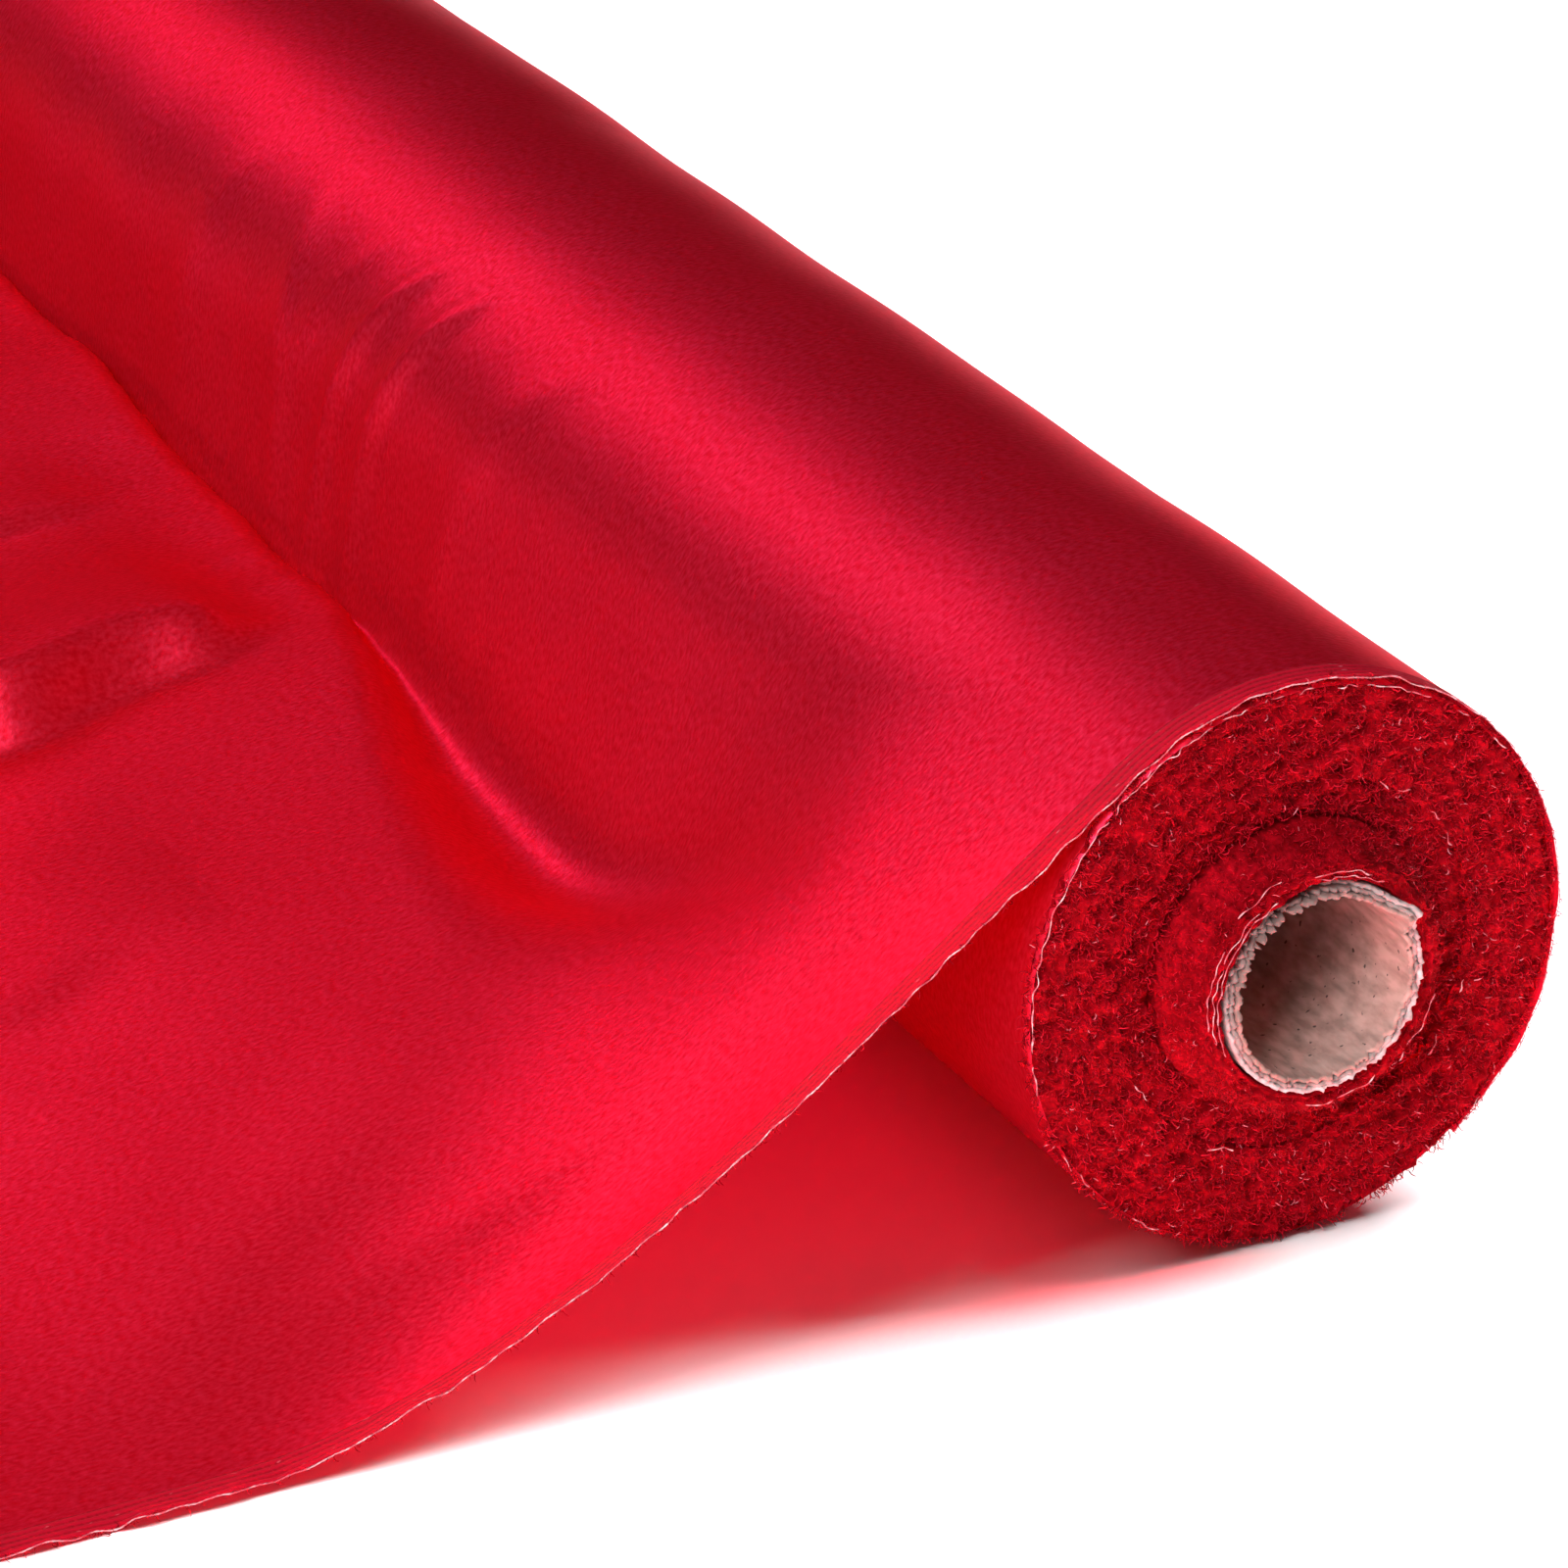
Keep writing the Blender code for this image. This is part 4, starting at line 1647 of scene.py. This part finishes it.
@dataclass
class Core:
    """The paperboard tube, torn at its near end, with the first turns of cloth round it."""

    bolt: Bolt
    wardrobe: Wardrobe
    planter: FibrePlanter
    steps: int = 240
    tear_reach: float = 0.014
    tip_at: float = 38.0  # where a tongue of board stands out of the rim, in degrees
    tip_width: float = 0.13  # in radians
    tip_height: float = 0.0034
    tip_lean: float = 0.0016
    peeled: Triple = (0.0006, 0.0018, 0.0036)  # how far back each ply has peeled
    worn_at: float = 120.0  # the middle of the greyest part of the rim and of the painted shade on the lining, in degrees
    worn_width: float = 1.15
    turn_pitch: float = 0.0017
    thread_radius: float = 0.00009
    collar_setback: float = 0.0015
    collar_gap: float = 0.0002
    collar_lip: float = 0.0262
    flank_depth: float = 0.0108
    thread_arcs: Tuple[Tuple[float, int, int], ...] = (
        (0.0236, 58, 96),
        (0.0238, 118, 205),
        (0.0247, 66, 100),
        (0.0249, 128, 196),
        (0.0262, 150, 188),
        (0.0268, 112, 136),
        (0.0252, 262, 300),
        (0.0266, 312, 345),
    )

    def build(self) -> List[bpy.types.Object]:
        """Builds and dresses every piece of it.

        Returns:
            The pieces.
        """
        bolt = self.bolt
        wall = (bolt.core_radius - bolt.bore_radius) / 3
        radii = [bolt.bore_radius + wall * number for number in range(4)]
        boards = (self.wardrobe.board_inside, self.wardrobe.board, self.wardrobe.board_outside)
        made = []
        for ply, (name, board) in enumerate(zip(("inner", "body", "outer"), boards)):
            made.append(self._ply(ply, name, (radii[ply], radii[ply + 1]), board))
        made += [self._collar(), *(self._collar_fibres(side) for side in Side), self._collar_threads()]
        for slot in frame["nodes"]["start_tape"].material_slots:
            slot.material = self.wardrobe.tape
        for obj in made:
            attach(obj, "core")
        return made

    def _torn_back(self, angle: np.ndarray, ply: int) -> np.ndarray:
        """How far in a ply's near rim is torn at each angle.

        Args:
            angle: Places round the rim.
            ply: 0 for the innermost ply, 2 for the outermost.

        Returns:
            The depth of the tear, below 0 where the rim stands out.
        """
        peeled = self.peeled[ply] * (about(angle, 98, 0.55) + 0.5 * about(angle, 160, 0.5))
        ragged = 0.00026 * ring_wander(201 + ply, 52, angle) + 0.00030 * ring_wander(205 + ply, 17, angle)
        jagged = 0.0016 * np.clip(ring_wander(209 + ply, 34, angle), 0, None) * about(angle, 125, 0.8)
        return 0.0005 + peeled + ragged + jagged - self.tip_height * about(angle, self.tip_at, self.tip_width)

    def _ply(
        self, ply: int, name: str, radii: Tuple[float, float], board: bpy.types.Material
    ) -> bpy.types.Object:
        """One ply of the tube, closed, with a ragged near rim.

        Args:
            ply: 0 for the innermost ply, 2 for the outermost.
            name: Its name.
            radii: Its inner and outer radius.
            board: What it is made of.

        Returns:
            The piece.
        """
        bolt = self.bolt
        inner, outer = radii
        angle = ring_angles(self.steps)
        offsets = [0.0, 0.0005, 0.0012, 0.0025, 0.005, 0.009, self.tear_reach, 0.03]
        offsets += list(np.linspace(0.1, bolt.width - 0.002, 10))
        torn = self._torn_back(angle, ply)
        lean = self.tip_lean * about(angle, self.tip_at, self.tip_width)
        frayed = 0.00012 * ring_wander(215 + ply, 70, angle)

        def wall(radius: float, order: Sequence[float]) -> List[np.ndarray]:
            """The rows of one side of the ply.

            Args:
                radius: Distances from the axis.
                order: Distances from the rim, in the order of the rows.

            Returns:
                One row of points for each distance.
            """
            rows = []
            for offset in order:
                fade = max(0.0, 1 - offset / self.tear_reach)
                spread = radius + (lean + frayed) * fade ** 3
                rows.append(bolt.around(angle, spread, bolt.core_near_y + offset + torn * fade)[0])
            return rows

        rows = wall(outer, offsets)
        rows += [bolt.around(angle, radius, bolt.core_far_y)[0] for radius in (outer, inner)]
        rows += wall(inner, offsets[::-1])
        rows.append(bolt.around(angle, (inner + outer) / 2 + lean, bolt.core_near_y + torn - 0.0003)[0])
        points = np.stack(rows)
        faces = grid_faces(len(rows), self.steps, True, True)
        # The torn top of the rim is greyer, and the lining behind it is given the same grey as painted shade.
        from_rim = points[:, :, 1] - bolt.core_near_y
        rim_grey_and_lining_shade = 0.95 * about(angle, self.worn_at, self.worn_width)
        rim_grey_and_lining_shade = rim_grey_and_lining_shade * np.exp(-np.clip(from_rim - 0.004, 0, None) / 0.010)
        # The torn attribute carries the rim's grey and the lining's painted shade.
        obj = mesh_object(f"core_{name}_tube", points, faces, board, shades={"torn": rim_grey_and_lining_shade.ravel()})
        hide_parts(f"core_{name}_ply")
        return obj

    def flank(self, share: np.ndarray) -> np.ndarray:
        """The collar's radius at a share of the way down its slope."""
        base = self.bolt.collar_radius - self.collar_gap
        return self.collar_lip + (base - self.collar_lip) * share ** 1.8

    def _collar(self) -> bpy.types.Object:
        """The first turns of cloth, which stand out of the near end with the core.

        Returns:
            The piece.
        """
        bolt = self.bolt
        inner, outer = bolt.core_radius + self.collar_gap, bolt.collar_radius - self.collar_gap
        angle = ring_angles(self.steps)
        near = bolt.core_near_y + self.collar_setback
        far = bolt.core_far_y - self.collar_setback
        profile = [(inner, far), (inner, near + 0.004), (inner + 0.0003, near + 0.0010)]
        profile += [(radius, near) for radius in np.linspace(inner + 0.0008, self.collar_lip - 0.0008, 8)]
        # The turns have slipped along each other, so the collar widens down to the winding.
        for share in np.linspace(0.0, 1.0, 16):
            profile.append((self.flank(share), near + 0.0004 + share * self.flank_depth))
        profile += [(outer, near + self.flank_depth + step) for step in (0.002, 0.006, 0.012, 0.020)]
        profile += [(outer, far - 0.002), (outer - 0.0008, far)]
        rows = []
        for radius, y in profile:
            rough = 0.00030 * wander(231, 0.0030, *on_end(radius, angle))
            rough = rough + 0.00045 * np.cos(TURN * radius / self.turn_pitch)
            shown = near - 1e-6 <= y < near + self.flank_depth
            wobble = 0.00022 * ring_wander(232, 24, angle) * (y < near + 0.02) * (radius > inner + 0.001)
            rows.append(bolt.around(angle, radius + wobble, y + rough * shown)[0])
        faces = grid_faces(len(rows), self.steps, True, True)
        obj = mesh_object("core_collar_turns", np.stack(rows), faces[:, ::-1], self.wardrobe.wound)
        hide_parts("first_turns")
        return obj

    def _collar_fibres(self, side: Side) -> bpy.types.Object:
        """Loose fibres on one end of the collar, and down its near side.

        Args:
            side: Which end of the roll it is at.

        Returns:
            The piece.
        """
        bolt = self.bolt
        share, angle = np.meshgrid(np.linspace(0.0, 1.0, 12), ring_angles(160)[0], indexing="ij")
        first = bolt.core_radius + 0.0012
        if side is Side.NEAR:
            radius = np.where(share < 0.35, first + 0.008 * share, self.flank(share))
            down = np.clip(share - 0.3, 0, None) / 0.7 * self.flank_depth
            y = bolt.core_near_y + self.collar_setback + 0.0003 + down
        else:
            radius = first + 0.0070 * share
            y = bolt.core_far_y - self.collar_setback - 0.0002
        way = outwards(angle) * 0.5
        way[:, :, 1] = side.value
        clumps = np.clip(0.7 + 0.4 * wander(240, 0.005, *on_end(radius, angle)), 0.1, 1.5)
        bed = bolt.around(angle, radius, y)
        seed = 245 + side.value
        obj = self.planter.grow(f"{side.word}_collar_tufts", bed, way, clumps, COLLAR_PILE, seed)
        return obj

    def _collar_threads(self) -> bpy.types.Object:
        """Short arcs of pale edge thread on the collar's near end.

        Returns:
            The piece.
        """
        near = self.bolt.core_near_y + self.collar_setback
        parts = []
        for number, (radius, start, end) in enumerate(self.thread_arcs):
            angle = np.linspace(math.radians(start), math.radians(end), int((end - start) * 1.6))
            wobble = 0.00016 * wander(250 + number, 0.25, angle)
            down = max(0.0, radius - self.collar_lip) * 1.5
            depth = near - 0.0006 + down + 0.0002 * wander(260 + number, 0.2, angle)
            line = self.bolt.around(angle, radius + wobble, depth)
            girth = self.thread_radius * (1 + 0.5 * wander(270 + number, 0.004, along(line)))
            parts.append(strand(line, np.clip(girth, 0.00003, None), 5))
        points, faces = joined(parts)
        obj = mesh_object("collar_pale_threads", points, faces, self.wardrobe.thread)
        return obj


# ---------------------------------------------------------------- the studio


@dataclass(frozen=True)
class SoftLight:
    """A square soft light that looks at the near half of the bolt."""

    name: str
    bearing: float  # from +Y towards +X, in degrees
    height: float  # above the floor, in degrees
    distance: float
    size: float
    power: float  # in watts
    lit: Lit

    def away(self) -> Vector:
        """The direction from the bolt to the light."""
        bearing, height = math.radians(self.bearing), math.radians(self.height)
        level = math.cos(height)
        return Vector((math.sin(bearing) * level, math.cos(bearing) * level, math.sin(height)))


def looking(name: str, data: bpy.types.ID, place: Vector, forward: Vector) -> bpy.types.Object:
    """A camera or light put in the scene.

    Args:
        name: Its name.
        data: What it is.
        place: Where it stands.
        forward: The way it looks.

    Returns:
        The new object.
    """
    obj = bpy.data.objects.new(name, data)
    bpy.context.scene.collection.objects.link(obj)
    obj.location = place
    obj.rotation_mode = "QUATERNION"
    obj.rotation_quaternion = forward.to_track_quat("-Z", "Y")
    return obj


@dataclass
class Studio:
    """The floor, the soft lights and the camera."""

    bolt: Bolt
    wardrobe: Wardrobe
    stand_back: Triple = (-0.5697, -0.9180, 0.5987)
    yaw: float = 26.53
    pitch: float = 24.91
    lens: float = 141.6
    sensor: float = 36.0
    room_strength: float = 0.06
    through_spread: float = 40.0
    floor_half: float = 14.0
    floor_z: float = -0.0006
    lights: Tuple[SoftLight, ...] = (
        SoftLight("back_softbox", -22.0, 29.0, 3.4, 1.1, 9.5, Lit.BOLT),
        SoftLight("back_high_softbox", -12.0, 32.0, 3.4, 1.2, 11.0, Lit.BOLT),
        SoftLight("overhead_back_softbox", 5.0, 42.0, 3.4, 1.2, 2.5, Lit.BOLT),
        SoftLight("back_right_softbox", 38.0, 35.0, 3.4, 1.2, 2.0, Lit.BOLT),
        SoftLight("left_softbox", -100.0, 50.0, 3.2, 1.8, 24.0, Lit.BOLT),
        SoftLight("front_fill", 228.0, 38.0, 3.4, 1.4, 118.0, Lit.BOLT),
        SoftLight("floor_left", -90.0, 50.0, 8.0, 3.8, 280.0, Lit.FLOOR),
        SoftLight("floor_right", 90.0, 50.0, 8.0, 3.8, 1180.0, Lit.FLOOR),
        SoftLight("floor_overhead", 60.0, 86.0, 7.5, 3.8, 420.0, Lit.FLOOR),
        SoftLight("through_cloth", -80.0, 74.0, 3.2, 1.6, 36.0, Lit.THROUGH),
    )

    def build(self) -> None:
        """Builds the floor, the camera, the room and the lights."""
        self._floor()
        self._camera()
        self._room()
        for light in self.lights:
            self._softbox(light)
        settings = bpy.context.scene.view_settings
        settings.view_transform = "Standard"
        settings.look = "None"

    def _floor(self) -> None:
        """A wide white floor, which isn't part of the bolt."""
        spots = np.linspace(-self.floor_half, self.floor_half, 9)
        across, ahead = np.meshgrid(spots, spots)
        points = np.stack([across, ahead, np.full_like(across, self.floor_z)], axis=-1)
        mesh_object("studio_floor", points, grid_faces(9, 9), self.wardrobe.floor)

    def _camera(self) -> None:
        """The camera, level, looking down at the near end from in front and to the left."""
        data = bpy.data.cameras.new("camera")
        data.lens = self.lens
        data.sensor_width = self.sensor
        data.clip_start = 0.01
        data.clip_end = 100.0
        yaw, pitch = math.radians(self.yaw), math.radians(self.pitch)
        level = math.cos(pitch)
        forward = Vector((math.sin(yaw) * level, math.cos(yaw) * level, -math.sin(pitch)))
        near_foot = Vector((self.bolt.axis_x, self.bolt.near_y, 0.0))
        camera = looking("camera", data, near_foot + Vector(self.stand_back), forward)
        bpy.context.scene.camera = camera

    def _room(self) -> None:
        """An even, dim white room all round."""
        world = bpy.data.worlds.new("room")
        world.use_nodes = True
        background = world.node_tree.nodes["Background"]
        background.inputs["Color"].default_value = (1.0, 1.0, 1.0, 1.0)
        background.inputs["Strength"].default_value = self.room_strength
        bpy.context.scene.world = world

    def _softbox(self, light: SoftLight) -> None:
        """Puts one soft light in its place.

        Args:
            light: The light.
        """
        data = bpy.data.lights.new(light.name, "AREA")
        data.shape = "RECTANGLE"
        data.size = data.size_y = light.size
        data.energy = light.power
        centre = Vector((self.bolt.axis_x - 0.05, self.bolt.near_y + 0.35, 0.03))
        away = light.away()
        linking = looking(light.name, data, centre + away * light.distance, -away).light_linking
        linking.receiver_collection = self._group("lit", light.lit)
        if light.lit is Lit.THROUGH:
            data.color = SatinFinish().through
            data.spread = math.radians(self.through_spread)
            linking.blocker_collection = self._group("shading", light.lit)

    def _group(self, use: str, lit: Lit) -> bpy.types.Collection:
        """The pieces that a kind of light falls on, or that stop it.

        Args:
            use: "lit" for what it falls on, "shading" for what stops it.
            lit: The kind of light.

        Returns:
            Their collection, made when it is first asked for.
        """
        name = f"{use}_{lit.value}"
        if name in bpy.data.collections:
            return bpy.data.collections[name]
        collection = bpy.data.collections.new(name)
        for obj in bpy.context.scene.collection.objects:
            floor = obj.name == "studio_floor"
            if use == "lit":
                chosen = floor == (lit is not Lit.BOLT)
            else:
                chosen = not floor and obj.name not in THIN_PIECES
            if obj.type == "MESH" and chosen:
                collection.objects.link(obj)
        return collection


def main() -> None:
    """Builds the bolt piece by piece, then the studio round it."""
    logging.basicConfig(level=logging.INFO, format="%(name)s: %(message)s")
    bolt = Bolt.from_frame()
    wardrobe = Wardrobe()
    planter = FibrePlanter(wardrobe.fibre)
    assemblies = (
        Roll(bolt, wardrobe, planter),
        Core(bolt, wardrobe, planter),
        Cloth(bolt, wardrobe, planter, Drape(bolt)),
    )
    for assembly in assemblies:
        for piece in assembly.build():
            log.info("%s: %d faces", piece.name, len(piece.data.polygons))
    planter.clear()
    Studio(bolt, wardrobe).build()


if __name__ == "__main__":
    main()
